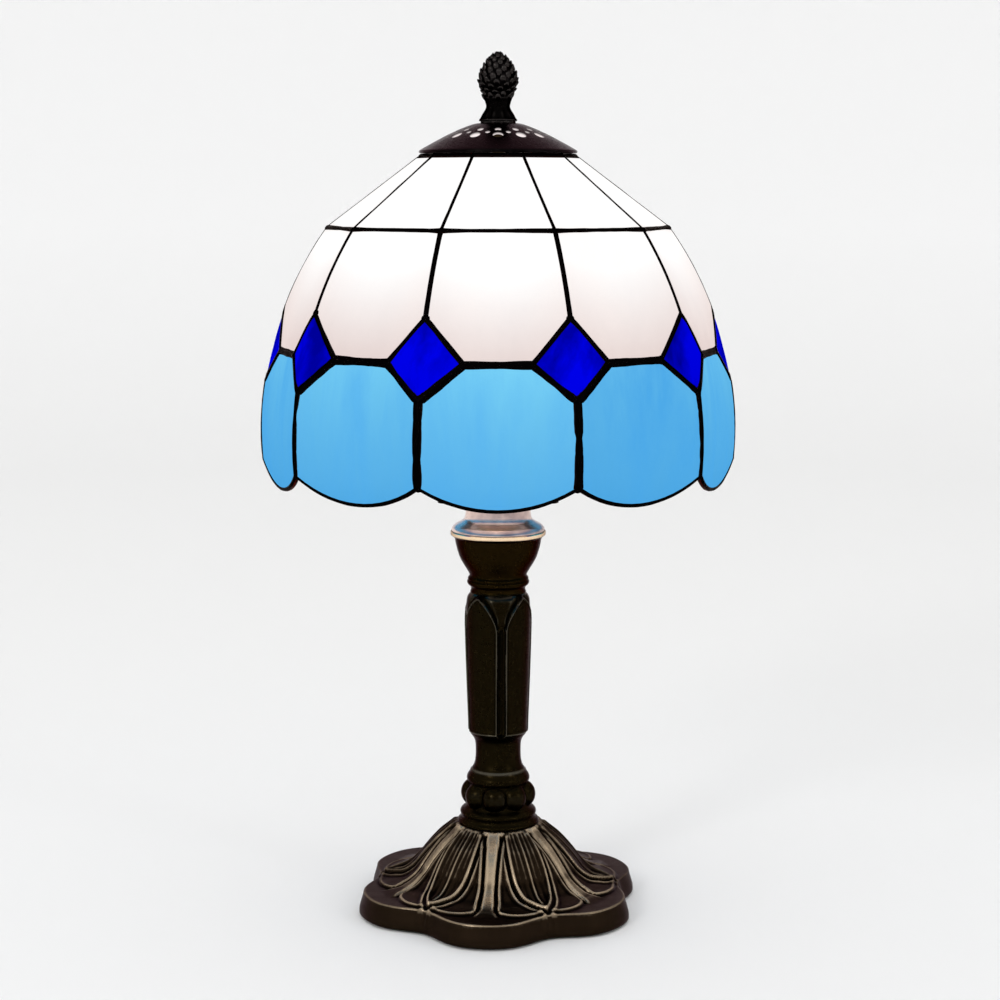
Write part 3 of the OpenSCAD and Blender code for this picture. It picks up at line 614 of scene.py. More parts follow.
def seam_points(s, z, depth, seam, bend=3.0):
    """Points near a seam, s from it along either face. The fold is eased over the bend."""
    s, z = np.asarray(s, float), np.asarray(z, float)
    level, up = wall_normal(z)
    eased = np.where(np.abs(s) < bend, s * s / (2 * bend) + bend / 2, np.abs(s))
    lean = HALF * np.clip(s / bend, -1, 1)
    turn = 2 * HALF * (seam + 0.5)
    across = s * math.cos(HALF) + depth * level * np.sin(lean)
    out = wall_a(z) / math.cos(HALF) - eased * math.sin(HALF) + depth * level * np.cos(lean)
    return np.stack([across * math.cos(turn) + out * math.sin(turn),
                     across * math.sin(turn) - out * math.cos(turn), z + depth * up], -1)

# %% [markdown]
# The lamp is lit, and opal glass scatters its light, so a pane shows no bulb behind it: it glows, most
# where the bulb is near and shines straight through. Tracing that light through thirty thick panes
# would be slow and grainy. Instead each point of a pane stores "glow", worked out from its distance to
# the bulb and the slant of the wall, and the glass finish turns it into a soft light of its own.

# %% Light that reaches a point of the wall
bulb_high = box_mm("bulb_glass")[1]
bulb_r = bulb_high[0]
bulb_centre = np.array([0.0, 0.0, bulb_high[2] - bulb_r])


def glow_at(points):
    """Light of the bulb on the wall, 1 where it is strongest."""
    away = points - bulb_centre
    distance = np.linalg.norm(away, axis=-1)
    level, up = wall_normal(points[..., 2])
    radial = np.hypot(points[..., 0], points[..., 1])
    facing = (radial * level + (points[..., 2] - bulb_centre[2]) * up) / distance
    return np.clip(facing, 0.05, 1) * (58.0 / distance) ** 1.3


# %% [markdown]
# A pane starts as a flat drawing, a grid whose sides lean in with the face. The corners that the
# diamonds take are cut off it with a straight cut each. Then every point is bent to the wall twice, once
# for each side of the glass, and the rims are closed. The drawing could be cut from a solid block
# instead, but a grid keeps even faces, which bend and shine smoothly.

# %% Panes
TUCK = 0.35             # how far a pane reaches under its bead
SHEET_TONES = (0.1, 0.85, 0.5, 0.2, 0.6, 0.15, 0.75, 0.3, 0.55, 0.3)    # how deep each sheet's colour is


def drawing_grid(top, bottom, inset, columns=14, rows=14):
    """A flat grid between two heights, or down to a curve, inset from the seams."""
    u = np.linspace(-1, 1, columns + 1)
    drawing = bmesh.new()
    rings = []
    for t in np.linspace(0, 1, rows + 1):
        row = []
        for side in u:
            foot = bottom(side * (half_width(skirt_z) - inset)) if callable(bottom) else bottom
            z = top + (foot - top) * t
            row.append(drawing.verts.new((side * (float(half_width(z)) - inset), 0, z)))
        rings.append(row)
    for above, below in zip(rings, rings[1:]):
        for k in range(columns):
            drawing.faces.new((above[k], above[k + 1], below[k + 1], below[k]))
    return drawing


def cut_corners(drawing, corner_z, inset):
    """Cuts the two corners that the diamonds take, next to a seam. corner_z is the diamond's far end."""
    w_side = float(half_width(ring2_z)) - DIAMOND_HALF_W
    w_end = float(half_width(corner_z))
    for side in (-1, 1):
        along = np.array([side * (w_end - w_side), 0.0, corner_z - ring2_z])
        way = np.array([along[2], 0.0, -along[0]])
        way *= side * math.copysign(1, way[0] * side) / np.linalg.norm(way)
        if way[0] * side < 0:
            way = -way
        start = np.array([side * w_side, 0.0, ring2_z]) - way * inset
        bmesh.ops.bisect_plane(drawing, geom=drawing.verts[:] + drawing.edges[:] + drawing.faces[:],
                               plane_co=start, plane_no=way, clear_outer=True, dist=1e-4)


def pane_from(name, drawing, placed, thickness=GLASS_T, seed=0):
    """Bends a flat drawing into a closed plate. placed(x, z, depth) gives its points."""
    drawing.verts.index_update()
    flat = np.array([(v.co.x, v.co.z) for v in drawing.verts])
    count = len(flat)
    outer = placed(flat[:, 0], flat[:, 1], thickness / 2)
    inner = placed(flat[:, 0], flat[:, 1], -thickness / 2)
    faces = [tuple(v.index for v in f.verts) for f in drawing.faces]
    sheet = faces + [tuple(count + i for i in reversed(f)) for f in faces]
    for edge in drawing.edges:
        if len(edge.link_faces) == 1:
            a, b = (v.index for v in edge.verts)
            sheet.append((a, b, count + b, count + a))
    drawing.free()
    obj = piece_from(name, np.vstack([outer, inner]), sheet, sharp=50)
    mesh = obj.data
    place = np.array([v.co for v in mesh.vertices]) / MM
    glow = mesh.attributes.new("glow", "FLOAT", "POINT")
    sheet_clear = 0.97 + 0.03 * math.cos(4 * HALF * seed)
    glow.data.foreach_set("value", (sheet_clear * glow_at(place)).astype(np.float32))
    tone = mesh.attributes.new("tone", "FLOAT", "POINT")
    tone.data.foreach_set("value", np.full(2 * count, SHEET_TONES[seed], np.float32))
    turn = -math.radians(36) * seed
    local = np.stack([place[:, 0] * math.cos(turn) - place[:, 1] * math.sin(turn),
                      np.full(len(place), seed * 37.0), place[:, 2]], -1)
    sheet_place = mesh.attributes.new("sheet", "FLOAT_VECTOR", "POINT")
    sheet_place.data.foreach_set("vector", (local * MM).astype(np.float32).ravel())
    return obj


def scallop(x):
    """Height of the scalloped edge across a face."""
    w = float(half_width(skirt_z))
    r = (w * w + SCALLOP_DROP ** 2) / (2 * SCALLOP_DROP)
    return hem_z + r - math.sqrt(r * r - min(abs(x), w) ** 2)


# %% [markdown]
# Three glasses. The white one is nearly even: it burns white near the bulb and turns a warm, rosy cream
# where less light comes through. The sky blue has the long wisps of rolled glass, pale where white was
# folded in. The cobalt is deep and clear, with a few darker veins. The wisps are noise stretched along
# the sheet and pushed about by a second noise. Each pane has a "tone" of its own and reads its own part
# of the pattern, because the panes of a lamp are cut from different places of a sheet.

# %% Glass finishes
def lit_glass(name, dim, bright, vein, vein_share, tone_share, streak, tilt, strength, glow_from, glow_to,
              body):
    """Opal glass lit from behind. Colours run from dim to bright with the glow, and veins darken them."""
    finish, tree, shader, where = new_finish(name, Roughness=0.3, Specular_IOR_Level=0.0,
                                             Emission_Strength=strength)
    sheet = point_value(tree, "sheet").outputs["Vector"]
    glow = point_value(tree, "glow").outputs["Fac"]
    leaning = add(tree, "ShaderNodeMapping", {"Vector": sheet, "Rotation": (0, tilt, 0), "Scale": streak})
    wander = add(tree, "ShaderNodeTexNoise", {"Vector": leaning.outputs[0], "Scale": 0.6, "Detail": 2.0})
    pushed = vector_math(tree, "ADD", leaning.outputs[0],
                         vector_math(tree, "SCALE", wander.outputs[1], 1.1))
    wisps = add(tree, "ShaderNodeTexNoise",
                {"Vector": pushed, "Scale": 1.0, "Detail": 5.0, "Roughness": 0.6})
    lamp = between(tree, glow, 0.0, 1.0, glow_from, glow_to)
    lit = colour_steps(tree, lamp, (0.0, dim), (1.0, bright))
    tone = number_math(tree, "MULTIPLY", point_value(tree, "tone").outputs["Fac"], tone_share)
    share = number_math(tree, "ADD", between(tree, wisps.outputs[0], 0.0, vein_share, 0.42, 0.66), tone)
    veined = add(tree, "ShaderNodeMix", {"Factor": share, 6: lit, 7: (*vein, 1)}, data_type="RGBA")
    tree.links.new(veined.outputs[2], shader.inputs["Emission Color"])
    tree.links.new(colour_steps(tree, wisps.outputs[0], (0.35, body), (0.7, tuple(2 * c for c in body))),
                   shader.inputs["Base Color"])
    ripple = noise(tree, where, 120, 2, 0.4, 0.4)
    bumped(tree, shader, ripple, 0.25, 0.0012)
    return finish


white_glass = lit_glass("white_glass", (0.72, 0.60, 0.575), (1.0, 1.0, 1.0), (0.84, 0.74, 0.70), 0.16,
                        0.12, (26, 26, 14), 0.25, 0.98, 0.45, 0.61, (0.05, 0.045, 0.043))
sky_glass = lit_glass("sky_glass", (0.065, 0.36, 0.72), (0.26, 0.80, 1.0), (0.055, 0.35, 0.72), 0.4,
                      0.65, (60, 60, 13), 0.22, 0.95, 0.28, 0.53, (0.01, 0.03, 0.06))
cobalt_glass = lit_glass("cobalt_glass", (0.0, 0.0, 0.72), (0.0, 0.001, 0.96), (0.0, 0.0, 0.24), 0.8,
                         0.2, (60, 60, 40), 0.9, 1.0, 0.30, 0.62, (0.0, 0.0, 0.01))


def lamp_glass():
    """The bulb's frosted glass, lit from inside."""
    finish, tree, shader, where = new_finish("lit_bulb", Roughness=0.45, Emission_Strength=3.0)
    cloud = noise(tree, where, 30, 2)
    tree.links.new(colour_steps(tree, cloud, (0.3, (1.0, 0.80, 0.62)), (0.7, (1.0, 0.86, 0.70))),
                   shader.inputs["Emission Color"])
    tree.links.new(colour_steps(tree, cloud, (0.3, (0.78, 0.76, 0.72)), (0.7, (0.84, 0.82, 0.79))),
                   shader.inputs["Base Color"])
    return finish


lit_bulb = lamp_glass()

# %% Cutting the thirty panes
UPPER_INSET, LOWER_INSET = 0.9 - TUCK, 1.2 - TUCK
for i in range(PANELS):
    def on_face(x, z, depth, panel=i):
        return face_points(x, z, depth, panel)

    number = f"{i + 1:02d}"
    upper = pane_from(f"upper_pane_{number}",
                      drawing_grid(crown_z - CROWN_CAME + TUCK, ring1_z + 0.7 - TUCK, UPPER_INSET),
                      on_face, seed=i)
    finish_piece(upper, white_glass, "shade", "white_glass", f"upper_glass_{number}")

    drawing = drawing_grid(ring1_z - 0.7 + TUCK, ring2_z + 1.5 - TUCK, LOWER_INSET)
    cut_corners(drawing, ring2_z + DIAMOND_UP, 1.3 - TUCK)
    middle = pane_from(f"middle_pane_{number}", drawing, on_face, seed=i)
    finish_piece(middle, white_glass, "shade", "white_glass", f"middle_glass_{number}")

    drawing = drawing_grid(ring2_z - 1.5 + TUCK, lambda x: scallop(x) + 2.0 - TUCK, LOWER_INSET)
    cut_corners(drawing, ring2_z - DIAMOND_DOWN, 1.3 - TUCK)
    lower = pane_from(f"lower_pane_{number}", drawing, on_face, seed=i)
    finish_piece(lower, sky_glass, "shade", "sky_glass", f"lower_glass_{number}")

# %% [markdown]
# Each cobalt diamond lies across a seam, so it is one piece of glass with a soft fold down its middle.
# Its drawing is a grid between the four corners. The wall's rule for seams folds it.

# %% The ten diamonds
def diamond_drawing(inset, steps=12):
    """A flat grid over the diamond, s across the seam and z upwards, inset from its edges."""
    corners = np.array([(0, ring2_z + DIAMOND_UP), (DIAMOND_HALF_W, ring2_z),
                        (0, ring2_z - DIAMOND_DOWN), (-DIAMOND_HALF_W, ring2_z)])
    middle = corners.mean(0)
    share = 1 - inset / (0.7 * DIAMOND_HALF_W)
    top, right, low, left = middle + (corners - middle) * share
    drawing = bmesh.new()
    grid = []
    for v in np.linspace(0, 1, steps + 1):
        row = []
        for u in np.linspace(0, 1, steps + 1):
            s, z = (1 - v) * ((1 - u) * left + u * top) + v * ((1 - u) * low + u * right)
            row.append(drawing.verts.new((s, 0, z)))
        grid.append(row)
    for above, below in zip(grid, grid[1:]):
        for k in range(steps):
            drawing.faces.new((above[k], above[k + 1], below[k + 1], below[k]))
    return drawing


diamonds = []
for i in range(PANELS):
    def over_seam(s, z, depth, seam=i):
        return seam_points(s, z, depth, seam)

    diamonds.append(pane_from(f"diamond_{i}", diamond_drawing(1.3 - TUCK), over_seam, seed=i))
finish_piece(joined("cobalt_diamonds", diamonds, 50), cobalt_glass, "shade", "cobalt_glass",
             "diamond_glass")

# %% [markdown]
# Copper foil is wrapped round every pane, and a bead of solder is run along each seam and then
# blackened. The beads are what draws the lamp: thin round the upper row, heavier below, and heaviest
# round the diamonds. Each kind of seam is written as a list of paths on the wall, with the width of its
# bead, and one run of the bead tree turns them all into metal.

# %% Paths of the seams
BEAD_TALL, BEAD_LOW = 1.62, 1.75      # half the height of a bead, through the wall
paths = []


def directions(points, normals):
    """The way across each path point, in the wall, from the path's own run."""
    run = np.gradient(points, axis=0)
    run /= np.linalg.norm(run, axis=1, keepdims=True)
    side = np.cross(normals, run)
    return side / np.linalg.norm(side, axis=1, keepdims=True)


def add_path(placed, half_w, half_h):
    """A seam. placed(depth) gives its points at a depth, and half_w its half width at each."""
    middle = placed(0.0)
    normals = placed(1.0) - middle
    normals /= np.linalg.norm(normals, axis=1, keepdims=True)
    paths.append((middle, directions(middle, normals), normals,
                  np.broadcast_to(half_w, len(middle)), np.broadcast_to(half_h, len(middle))))


def swelling(count, middle, ends):
    """A half width that is fuller towards both ends of a seam, where the solder pools."""
    t = np.linspace(-1, 1, count)
    return middle + (ends - middle) * np.abs(t) ** 3


def line_on_seam(seam, high, low, half_w, half_h):
    """A bead straight down a seam."""
    z = np.linspace(high, low, 30)
    add_path(lambda depth: seam_points(np.zeros_like(z), z, depth, seam), half_w, half_h)


def line_on_face(panel, start, end, half_w, half_h, count=16):
    """A bead between two points of a face's flat drawing."""
    x, z = np.linspace(start[0], end[0], count), np.linspace(start[1], end[1], count)
    add_path(lambda depth: face_points(x, z, depth, panel), half_w, half_h)


def line_by_seam(seam, start, end, half_w, half_h, count=14):
    """A bead between two points next to a seam, each given as (s, z)."""
    s, z = np.linspace(start[0], end[0], count), np.linspace(start[1], end[1], count)
    add_path(lambda depth: seam_points(s, z, depth, seam), half_w, half_h)


for i in range(PANELS):
    line_on_seam(i, crown_z - 0.4, ring1_z, swelling(30, 0.98, 1.5), BEAD_TALL)
    line_on_seam(i, ring1_z, ring2_z + DIAMOND_UP, swelling(30, 1.35, 1.9), BEAD_TALL)
    line_on_seam(i, ring2_z - DIAMOND_DOWN, skirt_z + 0.8, swelling(30, 2.25, 2.35), BEAD_LOW)
    top_w, ring_w = float(half_width(crown_z)), float(half_width(ring1_z))
    line_on_face(i, (-top_w, crown_z - 0.4), (top_w, crown_z - 0.4), 1.65, BEAD_TALL)
    line_on_face(i, (-ring_w, ring1_z), (ring_w, ring1_z), swelling(16, 1.3, 1.75), BEAD_TALL)
    side_x = float(half_width(ring2_z)) - DIAMOND_HALF_W
    line_on_face(i, (-side_x, ring2_z), (side_x, ring2_z), swelling(16, 2.35, 2.6), BEAD_TALL)
    top, low = (0, ring2_z + DIAMOND_UP), (0, ring2_z - DIAMOND_DOWN)
    left, right = (-DIAMOND_HALF_W, ring2_z), (DIAMOND_HALF_W, ring2_z)
    for start, end, half_w in ((top, left, 1.4), (top, right, 1.6), (left, low, 1.95), (right, low, 2.4)):
        line_by_seam(i, start, end, swelling(14, half_w, half_w + 0.25), BEAD_TALL)
    across = np.linspace(-float(half_width(skirt_z)), float(half_width(skirt_z)), 34)
    edge = np.array([scallop(x) for x in across]) + 0.95
    add_path(lambda depth, panel=i, x=across, z=edge: face_points(x, z, depth, panel), 1.0, 1.42)

# %% Solder for the seams
solder, tree, shader, where = new_finish("dark_solder", Metallic=1.0, Specular_Tint=(0.4, 0.36, 0.35, 1.0))
# painted light: the bead's sides, next to the glass, run reddish-brown as a painted glow of the lit glass
# on them; the middle keeps the solder's black patina
side_ways = add(tree, "ShaderNodeSeparateXYZ",
                {0: point_value(tree, "section").outputs["Vector"]}).outputs[0]
near_glass = number_math(tree, "ABSOLUTE", side_ways)
patina_and_edge_glow = number_math(tree, "ADD", near_glass,
                     number_math(tree, "MULTIPLY_ADD", noise(tree, where, 300), 0.3, -0.15))
tree.links.new(colour_steps(tree, patina_and_edge_glow, (0.55, (0.0015, 0.001, 0.001)), (0.88, (0.010, 0.003, 0.002)),
                            (1.0, (0.10, 0.02, 0.015))), shader.inputs["Base Color"])
tree.links.new(between(tree, noise(tree, where, 500), 0.3, 0.5), shader.inputs["Roughness"])
bumped(tree, shader, noise(tree, where, 650, 3), 0.3, 0.0004)

points, edges, start = [], [], 0
for middle, *_ in paths:
    count = len(middle)
    edges += [(start + k, start + k + 1) for k in range(count - 1)]
    start += count
all_paths = [np.concatenate([path[k] for path in paths]) for k in range(5)]
beads = path_object("solder_seams", all_paths[0], edges, across=all_paths[1], outward=all_paths[2],
                    half_width=all_paths[3] * MM, half_height=all_paths[4] * MM)
grow(beads, bead_tree, Sides=10, Unevenness=0.26, Lump_Scale=95.0, Seed=3.0, Finish=solder)
print("seams:", len(paths), "paths, faces:", len(beads.data.polygons))
finish_piece(beads, solder, "shade", "dark_solder", "came_lattice")

# %% [markdown]
# Where several seams meet, the solder runs together into a small flat button. One button is modelled
# once, as a squashed ball with a few dozen faces, and the seating tree sets it on every meeting point,
# each a little larger or smaller.

# %% Solder joints
def squashed_ball(name, width, height, thickness, around=12, rows=7):
    """A small ball, in millimetres, to be set on points."""
    points, faces = [(0, 0, thickness)], []
    for i in range(1, rows):
        t = math.pi * i / rows
        for j in range(around):
            a = TAU * j / around
            points.append((width * math.sin(t) * math.cos(a), height * math.sin(t) * math.sin(a),
                           thickness * math.cos(t)))
    points.append((0, 0, -thickness))
    last = len(points) - 1
    for j in range(around):
        k = (j + 1) % around
        faces += [(0, 1 + j, 1 + k), (last, last - around + k, last - around + j)]
        for i in range(rows - 2):
            a = 1 + i * around
            faces.append((a + j, a + around + j, a + around + k, a + k))
    return piece_from(name, points, faces)


joints, ways, sizes = [], [], []
rng = np.random.default_rng(11)
for i in range(PANELS):
    for s, z, size in ((0, ring1_z, 1.5), (0, ring2_z + DIAMOND_UP, 1.75),
                       (0, ring2_z - DIAMOND_DOWN, 1.9),
                       (-DIAMOND_HALF_W, ring2_z, 1.9), (DIAMOND_HALF_W, ring2_z, 2.1),
                       (0, skirt_z + 0.9, 1.6)):
        tall = 0.9 if z < ring2_z - DIAMOND_DOWN - 1 else 1.0
        spot = seam_points([s], [z], 0.0, i)[0]
        joints.append(spot)
        out = seam_points([s], [z], 1.0, i)[0] - spot
        ways.append(out / np.linalg.norm(out))
        blob = 1.25 * size * rng.uniform(0.92, 1.12)
        sizes.append(blob * np.array([1, 1, tall * BEAD_TALL * 0.82 / size]))
seats = path_object("solder_joints", joints, outward=ways, upward=np.tile([0, 0, 1.0], (len(joints), 1)),
                    size=np.array(sizes))
button = squashed_ball("button", 1, 1, 1)
grow(seats, seat_tree, Piece=button, Finish=solder)
bpy.data.objects.remove(button)
face_outwards(seats)
finish_piece(seats, solder, "shade", "dark_solder")

# %% [markdown]
# The vent cap is spun from thin black sheet and pierced with three rings of holes. Its shell is turned
# as one closed section with a rolled rim. A tree then sets a drill on each hole's place and subtracts
# all drills at once. The tree runs three times, once for each ring, with that ring's own sizes.

# %% The drill tree
def make_drill_tree():
    """Subtracts a ring of round holes, parallel to the axis, from a shell."""
    tree, given, outlet = new_tree("ring_of_holes", Holes="Int", Ring_Radius="Float", Hole_Radius="Float",
                                   Turn="Float", Height="Float", Finish="Material")
    ring = add(tree, "GeometryNodeMeshCircle",
               {"Vertices": given["Holes"], "Radius": given["Ring Radius"]})
    turn = add(tree, "ShaderNodeCombineXYZ", {"Z": given["Turn"]})
    lift = add(tree, "ShaderNodeCombineXYZ", {"Z": given["Height"]})
    placed = add(tree, "GeometryNodeTransform",
                 {"Geometry": ring.outputs[0], "Translation": lift.outputs[0],
                                                 "Rotation": turn.outputs[0]})
    drill = add(tree, "GeometryNodeMeshCylinder",
                {"Vertices": 20, "Radius": given["Hole Radius"], "Depth": 0.04})
    drills = add(tree, "GeometryNodeInstanceOnPoints",
                 {"Points": placed.outputs[0], "Instance": drill.outputs[0]})
    real = add(tree, "GeometryNodeRealizeInstances", {"Geometry": drills.outputs[0]})
    cut = add(tree, "GeometryNodeMeshBoolean", {"Mesh 1": given["Geometry"], "Mesh 2": real.outputs[0]},
              operation="DIFFERENCE", solver="EXACT")
    end_tree(tree, outlet, cut.outputs[0], given["Finish"])
    return tree


drill_tree = make_drill_tree()

# %% [markdown]
# Seen through the holes, the inside of the cap is bright, because the bulb shines straight up at it. The
# cap's points carry "lit", 1 underneath and 0 on top, and the black finish turns that into light.

# %% The vent cap
lit_cap = cast_metal("lit_black_casting", (0.001, 0.001, 0.001), (0.0020, 0.0016, 0.0017),
                     (0.030, 0.026, 0.025), polish=0.26, sheen=0.6)
tree = lit_cap.node_tree
shader = tree.nodes["Principled BSDF"]
shader.inputs["Emission Color"].default_value = (1.0, 0.90, 0.89, 1)
tree.links.new(number_math(tree, "MULTIPLY", point_value(tree, "lit").outputs["Fac"], 0.95),
               shader.inputs["Emission Strength"])
cap_low, cap_high = box_mm("vent_cap")
CAP_T, CAP_HOLES, STUD_HOLE_R = 0.9, 14, 3.6
cap_r, cap_top = cap_high[0], cap_high[2]
cap_flat_r, rim_drop = 9.0, 1.0


def cap_height(r):
    """Height of the cap's outside at a radius: flat on top, then a shallow dome."""
    share = np.clip((r - cap_flat_r) / (cap_r - cap_flat_r), 0, 1)
    return cap_top - (cap_top - cap_low[2] - rim_drop) * share ** 1.25


radii = np.linspace(cap_flat_r, cap_r - 0.45, 26)
over = np.column_stack([radii, cap_height(radii)])
roll = [(cap_r - 0.1, cap_low[2] + 0.95), (cap_r, cap_low[2] + 0.5), (cap_r - 0.25, cap_low[2] + 0.05),
        (cap_r - 0.8, cap_low[2]), (cap_r - 1.1, cap_low[2] + 0.35)]
under = np.column_stack([radii, cap_height(radii) - CAP_T])[::-1]
section = np.vstack([[(STUD_HOLE_R, cap_top - 0.15), (STUD_HOLE_R + 0.15, cap_top)], over, roll, under[1:],
                     [(STUD_HOLE_R, cap_top - CAP_T)]])
cap = turned("perforated_cap", section, 140, sharp=45)
for ring_r, hole_r, half_steps in ((21.7, 2.2, 0), (19.3, 1.1, 1), (16.7, 1.4, 0)):
    grow(cap, drill_tree, Holes=CAP_HOLES, Ring_Radius=ring_r * MM, Hole_Radius=hole_r * MM,
         Turn=-math.pi / 2 + half_steps * math.pi / CAP_HOLES, Height=(cap_top - 6) * MM,
         Finish=black_casting)
cap.data.set_sharp_from_angle(angle=math.radians(40))
mark_wear(cap, gain=0.3, change=lambda place, wear: 0.5 + 0.3 * (wear - 0.5))
cap_place = np.array([v.co for v in cap.data.vertices]) / MM
cap_r_at = np.hypot(cap_place[:, 0], cap_place[:, 1])
under_side = (cap_place[:, 2] < cap_height(cap_r_at) - 0.5 * CAP_T) & (cap_r_at < cap_r - 2.5)
lit_from_below = cap.data.attributes.new("lit", "FLOAT", "POINT")
lit_from_below.data.foreach_set("value", under_side.astype(np.float32))
finish_piece(cap, lit_cap, "cap", "black_metal", "vent_cap")

# %% [markdown]
# The finial is a small pine cone on a waisted foot. Real scales overlap like tiles and follow two sets
# of spirals, so the seats are placed by the golden angle: each scale turns 137.5 degrees on from the
# last one, and climbs a little. The spirals then appear by themselves.

# %% The pine-cone finial
finial_low, finial_high = box_mm("finial")
foot_r = finial_high[0]
GOLDEN = math.radians(137.508)
SCALES, SCALE_LOW, SCALE_OUT = 96, 9.6, 0.75
outline = flow([(foot_r - 0.7, 0.6), (foot_r - 1.1, 1.3), (6.7, 3.0), (5.5, 4.9), (5.1, 6.3), (5.5, 8.2),
                (6.7, 11.2), (7.9, 14.2), (8.45, 16.8), (7.9, 19.8), (6.5, 23.0), (4.6, 25.8), (2.4, 27.8),
                (0.4, 28.8)], 6)


def core_radius(z):
    """Radius of the cone's core, under the scales, at a height above the finial's foot."""
    return np.interp(z, outline[:, 1], outline[:, 0]) - SCALE_OUT * np.clip((z - SCALE_LOW) / 2, 0, 1)


core = np.column_stack([np.maximum(core_radius(outline[:, 1]), 0.1), outline[:, 1]])
bore = 3.25
section = np.vstack([[(bore, 0), (foot_r - 0.8, 0), (foot_r - 0.6, 0.2)], core,
                     [(0.0, 28.9), (0.0, 13.0), (bore, 13.0)]])
section[:, 1] += finial_low[2]


def fluted_foot(angle, r, z):
    """Shallow flutes round the flared foot, faded out towards the waist."""
    height = z - finial_low[2]
    fade = np.clip((height - 0.8) / 0.8, 0, 1) * np.clip((7.0 - height) / 3.0, 0, 1) * (r > bore + 0.5)
    return r - 0.45 * fade * (0.5 + 0.5 * np.cos(12 * angle)), z


body = turned("finial_body", section, 144, fluted_foot)
scale_at, scale_out, scale_up, scale_size = [], [], [], []
for k in range(SCALES):
    height = SCALE_LOW + (28.0 - SCALE_LOW) * (k / (SCALES - 1)) ** 1.12
    r, ahead = float(core_radius(height)), float(core_radius(height + 0.6))
    a = k * GOLDEN
    radial = np.array([math.sin(a), -math.cos(a), 0])
    along = np.array([radial[0] * (ahead - r), radial[1] * (ahead - r), 0.6])
    along /= np.linalg.norm(along)
    out = np.cross(np.cross(along, radial), along)
    out = 0.86 * out / np.linalg.norm(out) - 0.5 * along
    scale_at.append(radial * max(r - 0.1, 0.1) + np.array([0, 0, finial_low[2] + height]))
    scale_out.append(out)
    scale_up.append(along)
    scale_size.append(np.full(3, 0.45 + 0.7 * min(1, r / 7.5)))
scale = squashed_ball("scale", 1.25, 1.75, 0.62, 10, 6)
seats = path_object("scales", scale_at, outward=scale_out, upward=scale_up, size=np.array(scale_size))
grow(seats, seat_tree, Piece=scale, Finish=black_casting)
bpy.data.objects.remove(scale)
cone = joined("pine_cone_finial", [body, seats])
face_outwards(cone)
mark_wear(cone, gain=0.6, rounds=2)
finish_piece(cone, black_casting, "finial", "black_metal", "finial")
washer_low, washer_high = box_mm("finial_washer")
washer = turned("cap_washer", ring_section(STUD_HOLE_R, washer_high[0], washer_low[2], washer_high[2],
                                           0.2), 64)
mark_wear(washer)
finish_piece(washer, black_casting, "finial_lead", "black_metal", "finial_washer")

# %% [markdown]
# The foot is the richest casting. Seen from above it has six lobes. Six tongues run down to the lobes'
# middles, and between them six acanthus leaves lie over the valleys, each with a rib, fine veins and a
# raised double rim, on a low petal. All of it is one height over the plan, so it is written as a rule
# of the angle and the radius, and the rule is swept round as one skin. Sculpting would do as well, but a
# rule keeps the six leaves alike, as castings from one pattern are.

# %% Plan of the foot
pad_low, pad_high = box_mm("felt_pad")
FOOT_TURN = math.radians(-6)
FOOT_R, LOBE_SWING, LOBE_FLAT = 59.6, 4.3, 0.7
PLATE_H, FOOT_WALL = 9.5, 3.0
DRAFT = 1.9                      # how much wider the plate is at the ground than at its top
ground = pad_high[2]
plate_z = ground + PLATE_H
foot_top = box_mm("foot_casting")[1][2]
PIPE_BORE_R = 4.9


def lobed(angle, r=FOOT_R):
    """Radius of the foot's outline at an angle from a lobe's middle."""
    return r + LOBE_SWING * np.cos(6 * angle) - LOBE_FLAT * np.cos(12 * angle)


def hill(x, centre, width):
    """A smooth rounded ridge, 1 at its centre."""
    return np.exp(-((x - centre) / width) ** 2)


def step_up(x, start, end):
    """0 before start, 1 after end, and smooth between."""
    t = np.clip((x - start) / (end - start), 0, 1)
    return t * t * (3 - 2 * t)


dome_line = flow([(15, foot_top), (18, foot_top), (20, foot_top - 1.9), (22.3, foot_top - 4.0),
                  (25, foot_top - 6.2), (27.3, foot_top - 8.2), (31, foot_top - 12.2),
                  (34, foot_top - 15.9), (37, foot_top - 19.8), (41, plate_z + 3.4), (46, plate_z + 1.0),
                  (51, plate_z + 0.1), (56, plate_z), (66, plate_z - 0.1)], 6)
leaf_line = flow([(12, 3.2), (18, 4.9), (24, 6.6), (30, 7.7), (35, 7.9), (40, 6.9), (44, 5.2), (47, 3.4),
                  (49.5, 1.3), (50.6, 0.0)], 6)
leaf_section = flow([(-8.5, 0.6), (-5, 0.55), (-2.6, 0.8), (-1.3, 1.5), (-0.55, 2.1), (0.0, 1.6),
                     (0.75, -0.45), (1.35, 0.1), (2.0, 0.8), (2.7, 0.5), (3.6, 0.0)], 6)
petal_line = flow([(0, 51.6), (0.2, 52.4), (0.4, 53.0), (0.6, 52.2), (0.75, 50.2), (0.85, 47.6),
                   (0.93, 44.8), (1.0, 43.5)], 6)


def leaf_gap(down, across):
    """Distance outside a leaf's outline, negative inside it."""
    gap = np.full(down.shape, 1e9)
    for (u0, w0), (u1, w1) in zip(leaf_line[:-1], leaf_line[1:]):
        du, dw = u1 - u0, w1 - w0
        t = np.clip(((down - u0) * du + (across - w0) * dw) / (du * du + dw * dw), 0, 1)
        gap = np.minimum(gap, np.hypot(down - u0 - t * du, across - w0 - t * dw))
    inside = (across < np.interp(down, leaf_line[:, 0], leaf_line[:, 1])) & (down < leaf_line[-1, 0])
    return np.where(inside, -gap, gap)


def tongue_half(r):
    """Half the width of a tongue."""
    return 3.0 - 0.5 * step_up(r, 20, 34) + 0.7 * step_up(r, 36, 44) + 2.6 * step_up(r, 43, 53) ** 1.4


